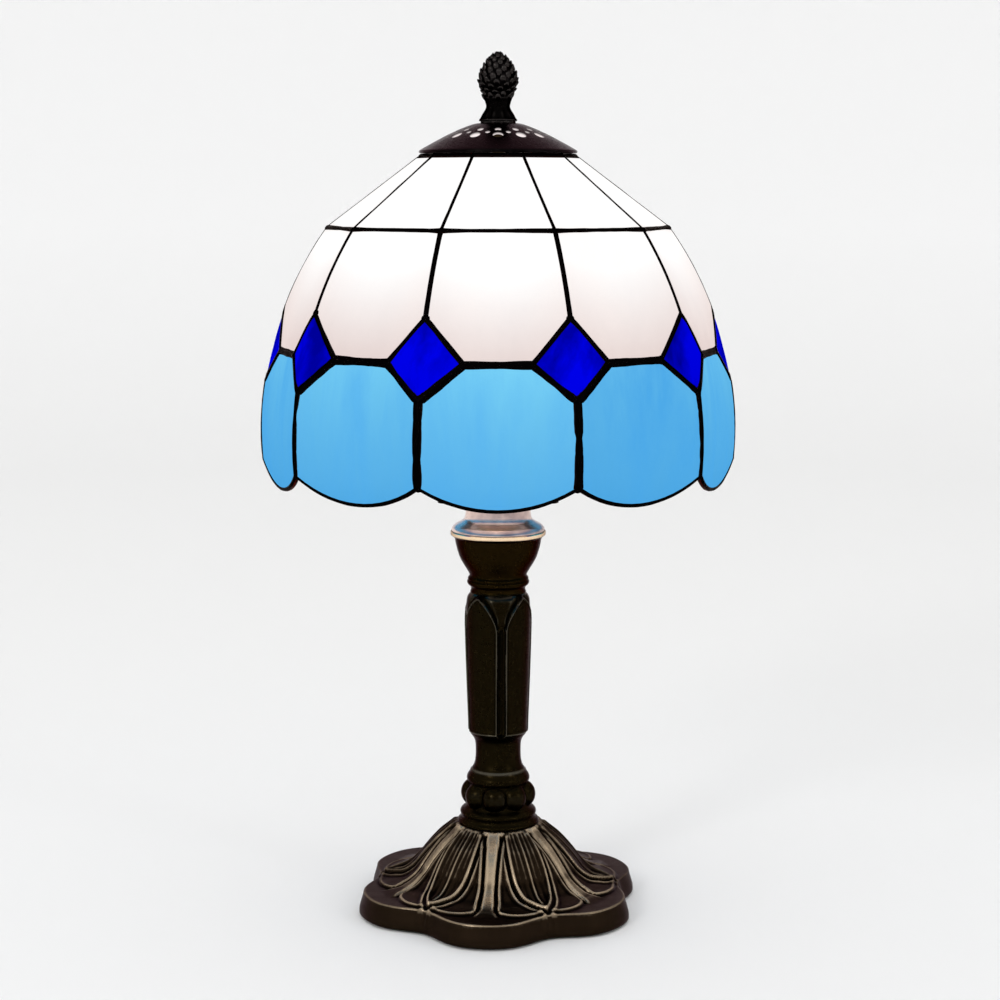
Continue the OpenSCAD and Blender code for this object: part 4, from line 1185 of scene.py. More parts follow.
def foot_height(angle, r):
    """Height of the foot's upper side over its plan. Angles are from a lobe's middle."""
    lobe = (angle + math.pi / 6) % (math.pi / 3) - math.pi / 6     # from the nearest tongue
    leaf = angle % (math.pi / 3) - math.pi / 6                     # from the nearest leaf
    z = np.interp(r, dome_line[:, 0], dome_line[:, 1])
    across, down = r * np.abs(np.sin(leaf)), r * np.cos(leaf)
    gap = leaf_gap(down, across)
    room = r * np.abs(np.sin(lobe)) - tongue_half(r)
    on_leaf = step_up(down, 17.3, 20.5)
    side_band = 1.0 * hill(room, 1.9, 0.9) * step_up(r, 19, 24) * (1 - step_up(r, 42, 47))
    z += on_leaf * np.maximum(np.interp(gap, leaf_section[:, 0], leaf_section[:, 1], right=0), side_band)
    half_w = np.maximum(np.interp(down, leaf_line[:, 0], leaf_line[:, 1]), 0.5)
    q = across / half_w
    z += on_leaf * 0.75 * hill(across, 0, 0.6) * step_up(-gap, 0.5, 1.5)
    fan = np.cos(19 * q + 0.9 * np.sin(0.21 * down + 3 * q))
    veins = on_leaf * (0.11 + 0.11 * (1 - step_up(down, 24, 36))) * fan
    z += veins * step_up(-gap, 1.0, 2.0) * step_up(q, 0.1, 0.2)
    z -= 1.5 * hill(room, 0.5, 0.55) * step_up(r, 18.2, 20.5) * (1 - step_up(r, 47, 52))
    z += 0.85 * step_up(-room, -0.1, 1.5) * (1 - step_up(r, 48, 54)) * step_up(r, 17.3, 19.5)
    swing = np.abs(leaf) / (math.pi / 6)
    inset = 0.9 * (np.interp(swing, petal_line[:, 0], petal_line[:, 1]) - r)
    beside = step_up(room, 0.4, 1.3)
    z += beside * (0.9 * step_up(inset, 0.0, 0.9) * step_up(r, 41, 46)
                   + 0.32 * hill(inset, 1.25, 0.6) * step_up(r, 42, 46))
    return z


# %% The foot casting
shell_z, ballast_r = ground + PLATE_H - FOOT_WALL, box_mm("ballast_plate")[1][0]
ledge_z = box_mm("ballast_plate")[1][2] + 0.2
TOP_STEPS, AROUND = 96, 780


def foot_skin():
    """The casting as one closed skin: over the top, down the wall, and back through the hollow."""
    angle = (np.arange(AROUND) * TAU / AROUND)[:, None]
    edge = lobed(angle)
    share = np.linspace(0, 1, TOP_STEPS)[None, :]
    r_top = PIPE_BORE_R + (edge - DRAFT - 1.0 - PIPE_BORE_R) * (0.10 * share + 0.90 * share ** 0.82)
    z_top = foot_height(angle, r_top)
    rim_z = z_top[:, -1:]
    wall_in = [DRAFT + 0.5, DRAFT + 0.12, DRAFT, 0.75 * DRAFT, 0.35 * DRAFT, 0.1, 0.0, 0.0, 0.35]
    wall_r = edge - np.array([wall_in])
    wall_z = rim_z - np.array([[0.02, 0.25, 0.75, 2.6, 5.0, 7.0, 8.2]])
    wall_z = np.hstack([wall_z, np.full((AROUND, 2), 1.0) * np.array([[ground + 0.35, ground]])])
    inner_edge = edge - FOOT_WALL
    hollow = [(ballast_r + 0.3, shell_z), (ballast_r + 0.3, ledge_z), (ballast_r - 4, ledge_z),
              (ballast_r - 8, foot_top - 14), (12, foot_top - 5), (PIPE_BORE_R, foot_top - 5)]
    r_in = np.hstack([inner_edge, inner_edge] + [np.full((AROUND, 1), r) for r, _ in hollow])
    z_in = np.hstack([np.full((AROUND, 1), ground), np.full((AROUND, 1), shell_z)]
                     + [np.full((AROUND, 1), z) for _, z in hollow])
    r, z = np.hstack([r_top, wall_r, r_in]), np.hstack([z_top, wall_z, z_in])
    count = r.shape[1]
    turned_angle = angle + FOOT_TURN
    points = np.stack([r * np.sin(turned_angle), -r * np.cos(turned_angle), z], -1).reshape(-1, 3)
    faces = [(j * count + k, j * count + (k + 1) % count, (j + 1) % AROUND * count + (k + 1) % count,
              (j + 1) % AROUND * count + k) for j in range(AROUND) for k in range(count)]
    return piece_from("leaf_foot", points, faces, 50)


def wear_and_front_light(place, wear):
    """Rubbed tongues and edges with painted light on them: brighter in front, where the light falls, and
    hardly any wear on the plate's wall or underneath.
    """
    r = np.hypot(place[:, 0], place[:, 1])
    angle = np.arctan2(place[:, 0], -place[:, 1]) - FOOT_TURN
    lobe = (angle + math.pi / 6) % (math.pi / 3) - math.pi / 6
    tongue = step_up(tongue_half(r) - r * np.abs(np.sin(lobe)), -0.1, 0.9) * step_up(r, 18, 20)
    tongue *= 1 - step_up(r, 42, 52)
    top = step_up(place[:, 2], plate_z - 1.0, plate_z - 0.3)
    # painted light: front is 1 on the side that faces the light and 0 at the back, and it brightens the
    # wear and the tongues there as a painted highlight
    front = np.clip(-place[:, 1] / np.maximum(r, 1), 0, 1)
    share = (0.35 + 0.65 * front) * (1 - 0.35 * step_up(r, 50, 55))
    wear = 0.5 + (wear - 0.5) * (0.12 + 0.88 * top) * np.where(wear > 0.5, share, 1)
    # the tongues are rubbed a little bright all round, and brighter in front as a painted highlight
    return np.clip(wear + (0.08 + 0.27 * front) * tongue * top, 0, 1)


foot = foot_skin()
mark_wear(foot, gain=0.75, rounds=2, change=wear_and_front_light)
finish_piece(foot, bronze, "root", "antique_bronze", "foot_casting")

# %% [markdown]
# Under the foot a felt pad keeps the bronze off the table. It follows the same lobed plan, a little
# smaller, and its cut edge is slightly rounded. The cord's outlet at the back is a moulded bush.

# %% Felt pad and cord bush
def lobed_shape(angle, r, z):
    """Turns a round section of radius FOOT_R into the lobed plan. The middle stays round."""
    share = np.clip(r / FOOT_R, 0, 1)
    local = angle - FOOT_TURN
    return r + (lobed(local) - FOOT_R) * share ** 2, z


pad_r = FOOT_R - 2
pad_section = filleted([(0.0, pad_low[2]), (pad_r, pad_low[2]), (pad_r, pad_high[2]), (0.0, pad_high[2])],
                       0.3)
pad_section = np.vstack([[(0.0, pad_low[2])], [(r, pad_low[2]) for r in (15, 30, 45)], pad_section[4:12],
                         [(r, pad_high[2]) for r in (45, 30, 15)], [(0.0, pad_high[2])]])
pad = turned("felt_pad_sheet", pad_section, 240, lobed_shape)
finish_piece(pad, felt, "root", "felt", "felt_pad")

bush_low, bush_high = box_mm("cord_grommet")
bush_z = (bush_low[2] + bush_high[2]) / 2
BUSH_BORE, BUSH_R, FLANGE_R, FLANGE_T = 2.6, 4.2, 4.45, 0.8
outlet_r = float(lobed(0.0))
bush_long = FOOT_WALL + 2 * FLANGE_T + 1.2
section = filleted([(BUSH_BORE, -FLANGE_T), (FLANGE_R, -FLANGE_T), (FLANGE_R, 0), (BUSH_R, 0.05),
                    (BUSH_R, bush_long - FLANGE_T), (BUSH_BORE, bush_long - FLANGE_T)], 0.25)
bush = turned("cord_bush", section, 48)
way = np.array([-math.sin(FOOT_TURN), math.cos(FOOT_TURN), 0])
place = np.array([v.co for v in bush.data.vertices]) / MM
side = np.array([math.cos(FOOT_TURN), math.sin(FOOT_TURN), 0])
moved = (place[:, :1] * side + place[:, 1:2] * np.array([0, 0, 1.0])
         + (outlet_r - place[:, 2:]) * way + np.array([0, 0, bush_z]))
bush.data.vertices.foreach_set("co", (moved * MM).ravel())
face_outwards(bush)
finish_piece(bush, grommet_plastic, "root", "black_plastic", "cord_grommet")

# %% [markdown]
# The column is stacked from three castings on the lamp pipe. The knuckle at the bottom has eight
# gadroons, round knobs side by side, between turned rings. Each knob is part of a ball, so the skin
# there is simply the farther out of the turned ring and the ball, with the join eased.

# %% The knuckle
def eased_max(a, b, ease):
    """The larger of two numbers, with a soft change-over."""
    h = np.clip(0.5 + 0.5 * (a - b) / ease, 0, 1)
    return b + (a - b) * h + ease * h * (1 - h)


knuckle_low, knuckle_high = box_mm("knuckle")
k0, k1 = knuckle_low[2], knuckle_high[2]
GADROONS, GADROON_R, KNUCKLE_R = 8, 5.7, 16.4
gadroon_z = k0 + 12.7
ring_line = [(17.2, 0.0), (17.7, 0.6), (17.5, 1.4), (16.7, 2.1), (16.2, 2.9), (16.3, 3.8), (16.6, 4.8),
             (16.3, 5.7), (15.5, 6.4), (14.6, 7.0), (13.8, 7.8), (13.3, 9.0), (13.1, 12.0), (12.9, 15.5),
             (12.8, 17.6), (13.0, 18.2), (13.5, 18.9), (13.7, 20.0), (13.4, 21.1), (12.9, 21.9),
             (12.4, 22.7), (12.1, k1 - k0)]
ring_line = flow(ring_line, 5)
ring_line[:, 1] += k0


def gadrooned(angle, r, z):
    """Swells the skin into eight knobs, one of them nearly in front."""
    a = (angle - math.radians(-8) + math.pi / GADROONS) % (TAU / GADROONS) - math.pi / GADROONS
    reach = KNUCKLE_R - GADROON_R
    inside = (GADROON_R ** 2 - ((z - gadroon_z) * 0.92) ** 2 - (reach * np.sin(a)) ** 2)
    ball = np.where(inside > 0, reach * np.cos(a) + np.sqrt(np.maximum(inside, 0)), 0.0)
    outside = r > PIPE_BORE_R + 1
    return np.where(outside, eased_max(ball, r, 0.35), r), z


section = np.vstack([ring_line, [(PIPE_BORE_R, k1), (PIPE_BORE_R, k0)]])
knuckle = turned("gadrooned_knuckle", section, 320, gadrooned)
mark_wear(knuckle, gain=0.5, change=lambda place, wear: 0.5 + 0.42 * (wear - 0.5))
finish_piece(knuckle, column_bronze, "root", "antique_bronze", "knuckle")

# %% [markdown]
# The shaft carries four tall arched panels. Between two panels runs a narrow flute, and the arch's edge
# is a fine raised line that catches the light. The panels are drawn on the unrolled skin: how far a
# point is from the panel's edge, in millimetres, decides the panel's rise, the line and the flute.

# %% The shaft
shaft_low, shaft_high = box_mm("column_shaft")
s0, s1 = shaft_low[2], shaft_high[2]
SHAFT_TURN = math.radians(6)
PANEL_LOW, ARCH_TOP, ARCH_RISE = s0 + 17.2, s1 - 1.2, 14.5
FLUTE_HALF = 1.75
shaft_line = [(11.9, 0), (11.6, 0.5), (11.1, 1.2), (10.5, 2.4), (10.05, 4.2), (9.85, 6.5), (9.8, 9.5),
              (9.95, 12), (10.5, 14), (11.4, 15.4), (12.2, 16.5), (12.6, 18), (12.7, 22), (12.95, 30),
              (13.55, 47), (13.95, 60), (14.15, 68), (14.2, 73), (14.05, 75.4), (13.7, 76.8), (13.1, 77.8),
              (12.3, 78.6), (12.1, s1 - s0)]
shaft_line = flow(shaft_line, 7)
shaft_line[:, 1] += s0


def panelled(angle, r, z):
    """Raises four arched panels with a fine edge line, and sinks the flutes between them."""
    a = (angle - SHAFT_TURN) % (math.pi / 2) - math.pi / 4
    outside = r > PIPE_BORE_R + 1
    beside = np.abs(a) * r
    panel_half = math.pi / 4 * r - FLUTE_HALF
    u = np.clip(beside / panel_half, 0, 1.2)
    arch = ARCH_TOP - ARCH_RISE + ARCH_RISE * np.maximum(1 - u ** 1.4, 0) ** 0.7
    inside = np.minimum(panel_half - beside, 0.8 * (arch - z))
    inside = np.minimum(inside, z - PANEL_LOW)
    swell = 0.55 * step_up(inside, -0.25, 0.35)
    line = 0.42 * hill(inside, 0.3, 0.42)
    flute = -0.75 * step_up(-inside, 0.1, 1.5) * (z > PANEL_LOW) * step_up(arch - z, -6, 0.5)
    return np.where(outside, r - 0.45 * (z > PANEL_LOW) * (z < ARCH_TOP + 1) + swell + line + flute, r), z


heights = np.linspace(s0, s1, 230)
skin = np.column_stack([np.interp(heights, shaft_line[:, 1], shaft_line[:, 0]), heights])
section = np.vstack([skin, [(PIPE_BORE_R, s1), (PIPE_BORE_R, s0)]])
shaft = turned("panelled_shaft", section, 360, panelled)
mark_wear(shaft, gain=0.7)
finish_piece(shaft, column_bronze, "root", "antique_bronze", "column_shaft")

# %% [markdown]
# The cup is turned: a beaded collar, a narrow neck and a flaring bowl with a crisp rim. The cover that
# closes it is spun from brighter sheet. Both are one section each.

# %% The cup and its cover
cup_low, cup_high = box_mm("column_cup")
c0, c1 = cup_low[2], cup_high[2]
cup_r = cup_high[0]
outside = flow([(12.1, 0), (11.8, 0.7), (11.7, 1.5), (12.1, 2.4), (13.0, 3.2), (13.4, 4.1), (13.3, 4.8),
                (12.9, 5.2), (13.1, 5.7), (12.9, 6.3), (12.4, 6.9), (12.4, 7.6), (12.8, 8.5), (13.5, 9.7),
                (15.1, 12.3), (16.5, 14.9), (17.4, 17.5), (18.1, 20.2), (18.6, 22.8), (18.9, 23.8)], 6)
rim = [(cup_r - 0.5, c1 - c0 - 2.2), (cup_r, c1 - c0 - 1.7), (cup_r, c1 - c0 - 0.5),
       (cup_r - 0.4, c1 - c0)]
bowl = [(cup_r - 2.6, c1 - c0), (cup_r - 3.2, c1 - c0 - 1), (cup_r - 4.8, c1 - c0 - 8), (10, 13),
        (PIPE_BORE_R, 13), (PIPE_BORE_R, 0)]
section = np.vstack([outside, rim, bowl])
section[:, 1] += c0
cup = turned("column_bowl", section, 144)


def painted_rim_highlight(place, wear):
    """A painted highlight: a cream band round the outer rim where the light catches it, and only a faint
    trace of the relief's wear elsewhere.
    """
    up = place[:, 2] - c0
    near_rim = np.clip(1.4 - np.abs(up - (c1 - c0 - 1.0)) / 0.85, 0, 1)
    outer_skin = np.hypot(place[:, 0], place[:, 1]) > cup_r - 1.2
    return np.clip(0.5 + 0.12 * (wear - 0.5) + 0.5 * near_rim * outer_skin, 0, 1)


mark_wear(cup, gain=0.4, change=painted_rim_highlight)
finish_piece(cup, cup_bronze_rim_highlight, "root", "antique_bronze", "column_cup")

cover_low, cover_high = box_mm("cup_cover")
v0, v1 = cover_low[2], cover_high[2]
cover_r, neck_r = cover_high[0], 13.9
outside = flow([(cover_r - 0.15, 0.4), (cover_r - 0.5, 1.2), (18.7, 2.3), (17.0, 3.3), (15.4, 4.2),
                (14.5, 5.2), (14.1, 6.6), (neck_r, 9.2), (neck_r, v1 - v0 - 0.5)], 7)
section = np.vstack([[(neck_r - 1.2, 0.0), (cover_r - 0.25, 0.0)], outside,
                     [(neck_r - 0.4, v1 - v0), (PIPE_BORE_R, v1 - v0), (PIPE_BORE_R, v1 - v0 - 1.2),
                      (neck_r - 1.2, v1 - v0 - 1.2)]])
section[:, 1] += v0
cover = turned("spun_cover", section, 128)
finish_piece(cover, cover_metal, "root", "cover_metal", "cup_cover")

# %% [markdown]
# Inside the foot lies an iron weight, and a washer and a nut on the pipe hold the column together. The
# nut is turned with its corners cut off by a chamfer, as a real nut has them. The pipe is threaded from
# end to end, but only its ends can be seen; a fine thread is swept round each of them.

# %% Weight, washer, nut and pipe
def ring_of(node, name, inner, finish, body, slot, round_off=0.25, steps=96):
    """A plain turned ring over a part's whole box."""
    low, high = box_mm(node)
    ring = turned(name, ring_section(inner, high[0], low[2], high[2], round_off), steps)
    return finish_piece(ring, finish, body, slot, node)


def thread_on(name, radius, depth, pitch, low, high, steps=40):
    """A helical ridge of a rounded section round the axis, for a screw's crests."""
    turns = (high - low) / pitch
    count = int(steps * turns)
    t = np.linspace(0, 1, count + 1)
    a = TAU * turns * t
    points = np.stack([radius * np.sin(a), -radius * np.cos(a), low + (high - low) * t], -1)
    outward = np.stack([np.sin(a), -np.cos(a), 0 * a], -1)
    fade = np.clip(np.minimum(t, 1 - t) * turns * 3, 0.05, 1)
    return path_object(name, points, [(k, k + 1) for k in range(count)],
                       across=np.tile([0, 0, 1.0], (count + 1, 1)), outward=outward,
                       half_width=0.42 * pitch * MM * np.ones(count + 1), half_height=depth * fade * MM)


weight_low, weight_high = box_mm("ballast_plate")
weight_section = filleted([(13, weight_low[2]), (weight_high[0], weight_low[2]),
                           (weight_high[0], weight_high[2]), (13, weight_high[2])], 0.8)
finish_piece(turned("iron_weight", weight_section, 128), cast_iron, "root", "cast_iron", "ballast_plate")
ring_of("bottom_washer", "pipe_washer", PIPE_BORE_R, zinc, "root", "zinc_steel")

nut_low, nut_high = box_mm("bottom_nut")
NUT_R = 9.4


def six_sided(angle, r, z):
    """Cuts a round section back to a hexagon, with its corners chamfered."""
    a = (angle - math.pi / 2 + math.pi / 6) % (math.pi / 3) - math.pi / 6
    flat = NUT_R * math.cos(math.pi / 6) / np.cos(math.pi / 6 - np.abs(a))
    edge = np.minimum(z - nut_low[2], nut_high[2] - z)
    chamfer = NUT_R - 1.1 + 1.9 * edge
    return np.where(r > PIPE_BORE_R + 0.5, np.minimum(np.minimum(flat, chamfer), r), r), z


heights = np.concatenate([[0, 0.15, 0.3, 0.45, 0.6], [2.0], [3.4, 3.55, 3.7, 3.85, 4.0]])
nut_section = np.vstack([[(7.6, nut_low[2])], np.column_stack([np.full(11, NUT_R), nut_low[2] + heights]),
                         [(7.6, nut_high[2]), (PIPE_BORE_R, nut_high[2]), (PIPE_BORE_R, nut_low[2])]])
nut = turned("pipe_nut", nut_section, 96, six_sided, sharp=30)
finish_piece(nut, brass, "root", "brass", "bottom_nut")

pipe_low, pipe_high = box_mm("lamp_pipe")
pipe_r, PIPE_WALL = pipe_high[0], 1.3
tube = turned("pipe_tube", ring_section(pipe_r - PIPE_WALL, pipe_r - 0.22, pipe_low[2], pipe_high[2], 0.2),
              64)
ends = []
for k, (low, high) in enumerate(((pipe_low[2] + 0.5, nut_low[2] + 6),
                                 (pipe_high[2] - 9, pipe_high[2] - 0.5))):
    crest = thread_on(f"pipe_thread_{k}", pipe_r - 0.22, 0.2, 0.94, low, high)
    ends.append(grow(crest, bead_tree, Sides=6, Unevenness=0.0, Lump_Scale=10.0, Seed=0.0, Finish=brass))
pipe = joined("threaded_pipe", [tube] + ends)
face_outwards(pipe)
finish_piece(pipe, brass, "root", "brass", "lamp_pipe")

# %% [markdown]
# The harp holds the shade. Its wire bows round the bulb between two ferrules that slide down over the
# pins of the saddle, and the stud on its top carries the wheel. The wire is one smooth path, swept by
# the bead tree. The ferrules are knurled so that fingers can lift them: small ribs, seated round them.

# %% The harp
saddle_low, saddle_high = box_mm("harp_saddle")
SADDLE_T, SADDLE_HALF, SADDLE_HUB_R, WIRE_R, PIN_H = 1.2, 4.0, 9.0, 1.6, 8.0
harp_foot_x = saddle_high[0] - SADDLE_HALF
saddle_top = saddle_low[2] + SADDLE_T


def saddle_outline():
    """Plan of the saddle, from its right end round to the left and back."""
    spread = math.asin(SADDLE_HALF / SADDLE_HUB_R)
    points = []
    for middle in (0, math.pi):
        for a in np.linspace(-math.pi / 2, math.pi / 2, 13):
            points.append((math.cos(middle) * harp_foot_x + SADDLE_HALF * math.cos(middle + a),
                           SADDLE_HALF * math.sin(middle + a)))
        for a in np.linspace(middle + spread, middle + math.pi - spread, 13):
            points.append((SADDLE_HUB_R * math.cos(a), SADDLE_HUB_R * math.sin(a)))
    return np.array(points)


def plate_with_hole(name, outline, hole_r, low, high, edge=0.15):
    """A flat plate with a round hole on the axis and softly broken edges."""
    count = len(outline)
    a = np.arctan2(outline[:, 1], outline[:, 0])
    hole = hole_r * np.column_stack([np.cos(a), np.sin(a)])
    inwards = outline * (1 - edge / np.linalg.norm(outline, axis=1, keepdims=True))
    rings = [(hole, low), (inwards, low), (outline, low + edge), (outline, high - edge), (inwards, high),
             (hole, high)]
    points = np.vstack([np.column_stack([ring, np.full(count, z)]) for ring, z in rings])
    faces = [(k * count + j, (k + 1) % 6 * count + j, (k + 1) % 6 * count + (j + 1) % count,
              k * count + (j + 1) % count)
             for k in range(6) for j in range(count)]
    return piece_from(name, points, faces, 30)


def moved_sideways(obj, x):
    """Shifts a piece's own points along X, in millimetres."""
    obj.data.transform(Matrix.Translation((x * MM, 0, 0)))
    return obj


strap = plate_with_hole("saddle_strap", saddle_outline(), PIPE_BORE_R, saddle_low[2], saddle_top)
pins = []
for side in (-1, 1):
    pin_section = [(0.0, saddle_top - 0.6), (WIRE_R, saddle_top - 0.6), (WIRE_R, saddle_top + PIN_H - 0.5),
                   (WIRE_R - 0.5, saddle_top + PIN_H), (0.0, saddle_top + PIN_H)]
    pins.append(moved_sideways(turned(f"saddle_pin_{side}", pin_section, 24), side * harp_foot_x))
saddle = joined("harp_saddle_strap", [strap] + pins)
finish_piece(saddle, browned_brass, "root", "brass", "harp_saddle")

wire_low, wire_high = box_mm("harp_frame")
wire_x, wire_top = wire_high[0] - WIRE_R, wire_high[2] - WIRE_R
arc_z = wire_top - wire_x
bend_z = saddle_top + PIN_H + 8
leg = flow([(harp_foot_x, wire_low[2]), (harp_foot_x, bend_z - 3), (harp_foot_x + 0.7, bend_z),
            (wire_x - 3.2, bend_z + 12), (wire_x - 0.6, bend_z + 18.5), (wire_x, bend_z + 24),
            (wire_x, arc_z)], 5)
arch = [(wire_x * math.cos(a), arc_z + wire_x * math.sin(a)) for a in np.linspace(0, math.pi, 49)[1:-1]]
run = np.vstack([leg, arch, leg[::-1] * (-1, 1)])
points = np.column_stack([run[:, 0], np.zeros(len(run)), run[:, 1]])
way = np.gradient(points, axis=0)
way /= np.linalg.norm(way, axis=1, keepdims=True)
count = len(points)
wire = path_object("harp_wire", points, [(k, k + 1) for k in range(count - 1)],
                   across=np.tile([0, 1.0, 0], (count, 1)),
                   outward=np.cross(np.tile([0, 1.0, 0], (count, 1)), way),
                   half_width=np.full(count, WIRE_R * MM), half_height=np.full(count, WIRE_R * MM))
grow(wire, bead_tree, Sides=20, Unevenness=0.0, Lump_Scale=10.0, Seed=0.0, Finish=browned_brass)
face_outwards(wire)
finish_piece(wire, browned_brass, "root", "brass", "harp_frame")

ferrule_low, ferrule_high = box_mm("harp_ferrules")
ferrule_r = ferrule_high[0] - harp_foot_x
sleeves, ribs = [], {"at": [], "out": []}
for side in (-1, 1):
    sleeve = turned(f"ferrule_{side}", ring_section(WIRE_R + 0.05, ferrule_r - 0.18, ferrule_low[2],
                                                    ferrule_high[2], 0.3), 40)
    sleeves.append(moved_sideways(sleeve, side * harp_foot_x))
    for a in np.linspace(0, TAU, 27)[:-1]:
        out = np.array([math.cos(a), math.sin(a), 0])
        sleeve_mid = np.array([side * harp_foot_x, 0, ferrule_low[2] + 2.6])
        ribs["at"].append(sleeve_mid + out * (ferrule_r - 0.2))
        ribs["out"].append(out)
rib = squashed_ball("rib", 0.24, 1.9, 0.18, 8, 6)
knurls = path_object("knurls", ribs["at"], outward=ribs["out"], upward=np.tile([0, 0, 1.0], (52, 1)),
                     size=np.ones((52, 3)))
grow(knurls, seat_tree, Piece=rib, Finish=browned_brass)
bpy.data.objects.remove(rib)
ferrules = joined("knurled_ferrules", sleeves + [knurls])
face_outwards(ferrules)
finish_piece(ferrules, browned_brass, "root", "brass", "harp_ferrules")

stud_low, stud_high = box_mm("harp_stud")
stud_r, BLOCK_R, BLOCK_H = 3.175, 5.5, 6.8
stud_section = filleted([(0.0, stud_low[2]), (BLOCK_R, stud_low[2]), (BLOCK_R, stud_low[2] + BLOCK_H),
                         (stud_r - 0.2, stud_low[2] + BLOCK_H), (stud_r - 0.2, stud_high[2]),
                         (0.0, stud_high[2])], 0.3)
stud_core = turned("stud_core", stud_section, 48)
crest = thread_on("stud_thread", stud_r - 0.2, 0.19, 0.94, stud_high[2] - 17, stud_high[2] - 0.6, 32)
grow(crest, bead_tree, Sides=6, Unevenness=0.0, Lump_Scale=10.0, Seed=0.0, Finish=browned_brass)
stud = joined("threaded_stud", [stud_core, crest])
face_outwards(stud)
finish_piece(stud, browned_brass, "root", "brass", "harp_stud")

# %% [markdown]
# The wheel under the cap carries the shade: a hub on the stud, four flat spokes and a band that the
# crown rests on. The band and the hub are turned, each spoke is a flat slab, and all are joined into one.

# %% The support wheel
wheel_low = box_mm("support_wheel")[0]
WHEEL_T, WHEEL_BAND, SPOKE_HALF, HUB_R = 1.6, 3.5, 2.5, 8.0
wheel_r = max(np.hypot(v.co.x, v.co.y) for v in nodes["support_wheel"].data.vertices) / MM
wheel_top = wheel_low[2] + WHEEL_T
band = turned("wheel_band", ring_section(wheel_r - WHEEL_BAND, wheel_r, wheel_low[2], wheel_top, 0.3), 128)
hub_section = flow([(HUB_R, wheel_low[2] + 0.3), (HUB_R, wheel_top), (HUB_R - 0.5, wheel_top + 0.7),
                    (6.4, wheel_top + 1.2)], 3)
hub_section = np.vstack([[(stud_r + 0.075, wheel_low[2]), (HUB_R - 0.3, wheel_low[2])], hub_section,
                         [(stud_r + 0.075, wheel_top + 1.2)]])
hub = turned("wheel_hub", hub_section, 64)
spokes = []
for k in range(4):
    along = np.linspace(HUB_R - 0.6, wheel_r - WHEEL_BAND + 0.6, 9)
    half = SPOKE_HALF - 0.5 * np.sin(np.pi * np.linspace(0, 1, 9))
    sheet = bmesh.new()
    for z in (wheel_low[2] + 0.15, wheel_top - 0.15):
        for a, b in zip(along, half):
            sheet.verts.new((a, -b, z))
            sheet.verts.new((a, b, z))
    shape = bmesh.ops.convex_hull(sheet, input=sheet.verts)
    bmesh.ops.delete(sheet, geom=[v for v in shape["geom_interior"] if isinstance(v, bmesh.types.BMVert)],
                     context="VERTS")
    mesh = bpy.data.meshes.new(f"spoke_{k}")
    sheet.to_mesh(mesh)
    sheet.free()
    mesh.transform(Matrix.Rotation(math.radians(45 + 90 * k), 4, "Z") @ Matrix.Scale(MM, 4))
    spoke = bpy.data.objects.new(f"spoke_{k}", mesh)
    bpy.context.scene.collection.objects.link(spoke)
    spokes.append(spoke)
wheel = joined("shade_wheel", [band, hub] + spokes)
face_outwards(wheel)
finish_piece(wheel, browned_brass, "shade_carrier", "brass", "support_wheel")

# %% [markdown]
# The lamp holder is built as real ones are: a domed metal cap over the saddle, a shell with two rolled
# beads, a card liner that keeps the shell from the live parts, a moulded base, the threaded sleeve and
# a sprung contact. The shell and the sleeve are thin, so each is one turned section of its own sheet.

# %% The lamp holder
cap_box_low, cap_box_high = box_mm("socket_cap")
q0, holder_r = cap_box_low[2], cap_box_high[0]
outside = flow([(9.0, 0.0), (10.4, 0.7), (12.4, 2.6), (15.2, 6.0), (16.8, 8.8), (holder_r, 10.2),
                (holder_r, 11.6)], 4)
bead_line = [(holder_r - 0.5, 12.1), (holder_r - 0.5, 12.7), (holder_r, 13.2), (holder_r, 14.6),
             (holder_r - 0.2, 15.0)]
inside = [(holder_r - 0.8, 15.0), (holder_r - 0.8, 9.8), (10.4, 3.0), (8.0, 3.0), (8.0, 8.0),
          (PIPE_BORE_R, 8.0)]
section = np.vstack([[(PIPE_BORE_R, 0.0)], outside, bead_line, inside]) + (0, q0)
finish_piece(turned("holder_cap", section, 96), socket_metal, "root", "socket_metal", "socket_cap")

shell_low, shell_high = box_mm("socket_shell")
shell_r, SHELL_WALL = shell_high[0], 0.6
tall = shell_high[2] - shell_low[2]
levels = np.unique(np.concatenate([np.linspace(0, tall, 12), tall * 0.55 + np.linspace(-1.6, 1.6, 9),
                                   tall - 3.2 + np.linspace(-1.6, 1.6, 9),
                                   tall - 0.2 - np.linspace(0, 0.6, 3)]))
dip = 0.4 * (hill(levels, tall * 0.55, 0.8) + hill(levels, tall - 3.2, 0.8))
skin = np.column_stack([shell_r - dip, shell_low[2] + levels])
section = np.vstack([skin, skin[::-1] - (SHELL_WALL, 0)])
finish_piece(turned("holder_shell", section, 96), socket_metal, "root", "socket_metal", "socket_shell")
ring_of("socket_liner", "card_tube", 15.05, card, "root", "card_liner", 0.12)

base_low, base_high = box_mm("socket_base")
base_section = filleted([(0.0, base_low[2]), (base_high[0], base_low[2]),
                         (base_high[0], base_high[2] - 1.2),
                         (base_high[0] - 1.0, base_high[2] - 1.2), (base_high[0] - 1.0, base_high[2]),
                         (0.0, base_high[2])], 0.3)
finish_piece(turned("holder_base", base_section, 96), insulator, "root", "insulator", "socket_base")

sleeve_low, sleeve_high = box_mm("screw_shell")
SLEEVE_R, LEAD = 13.2, 3.62


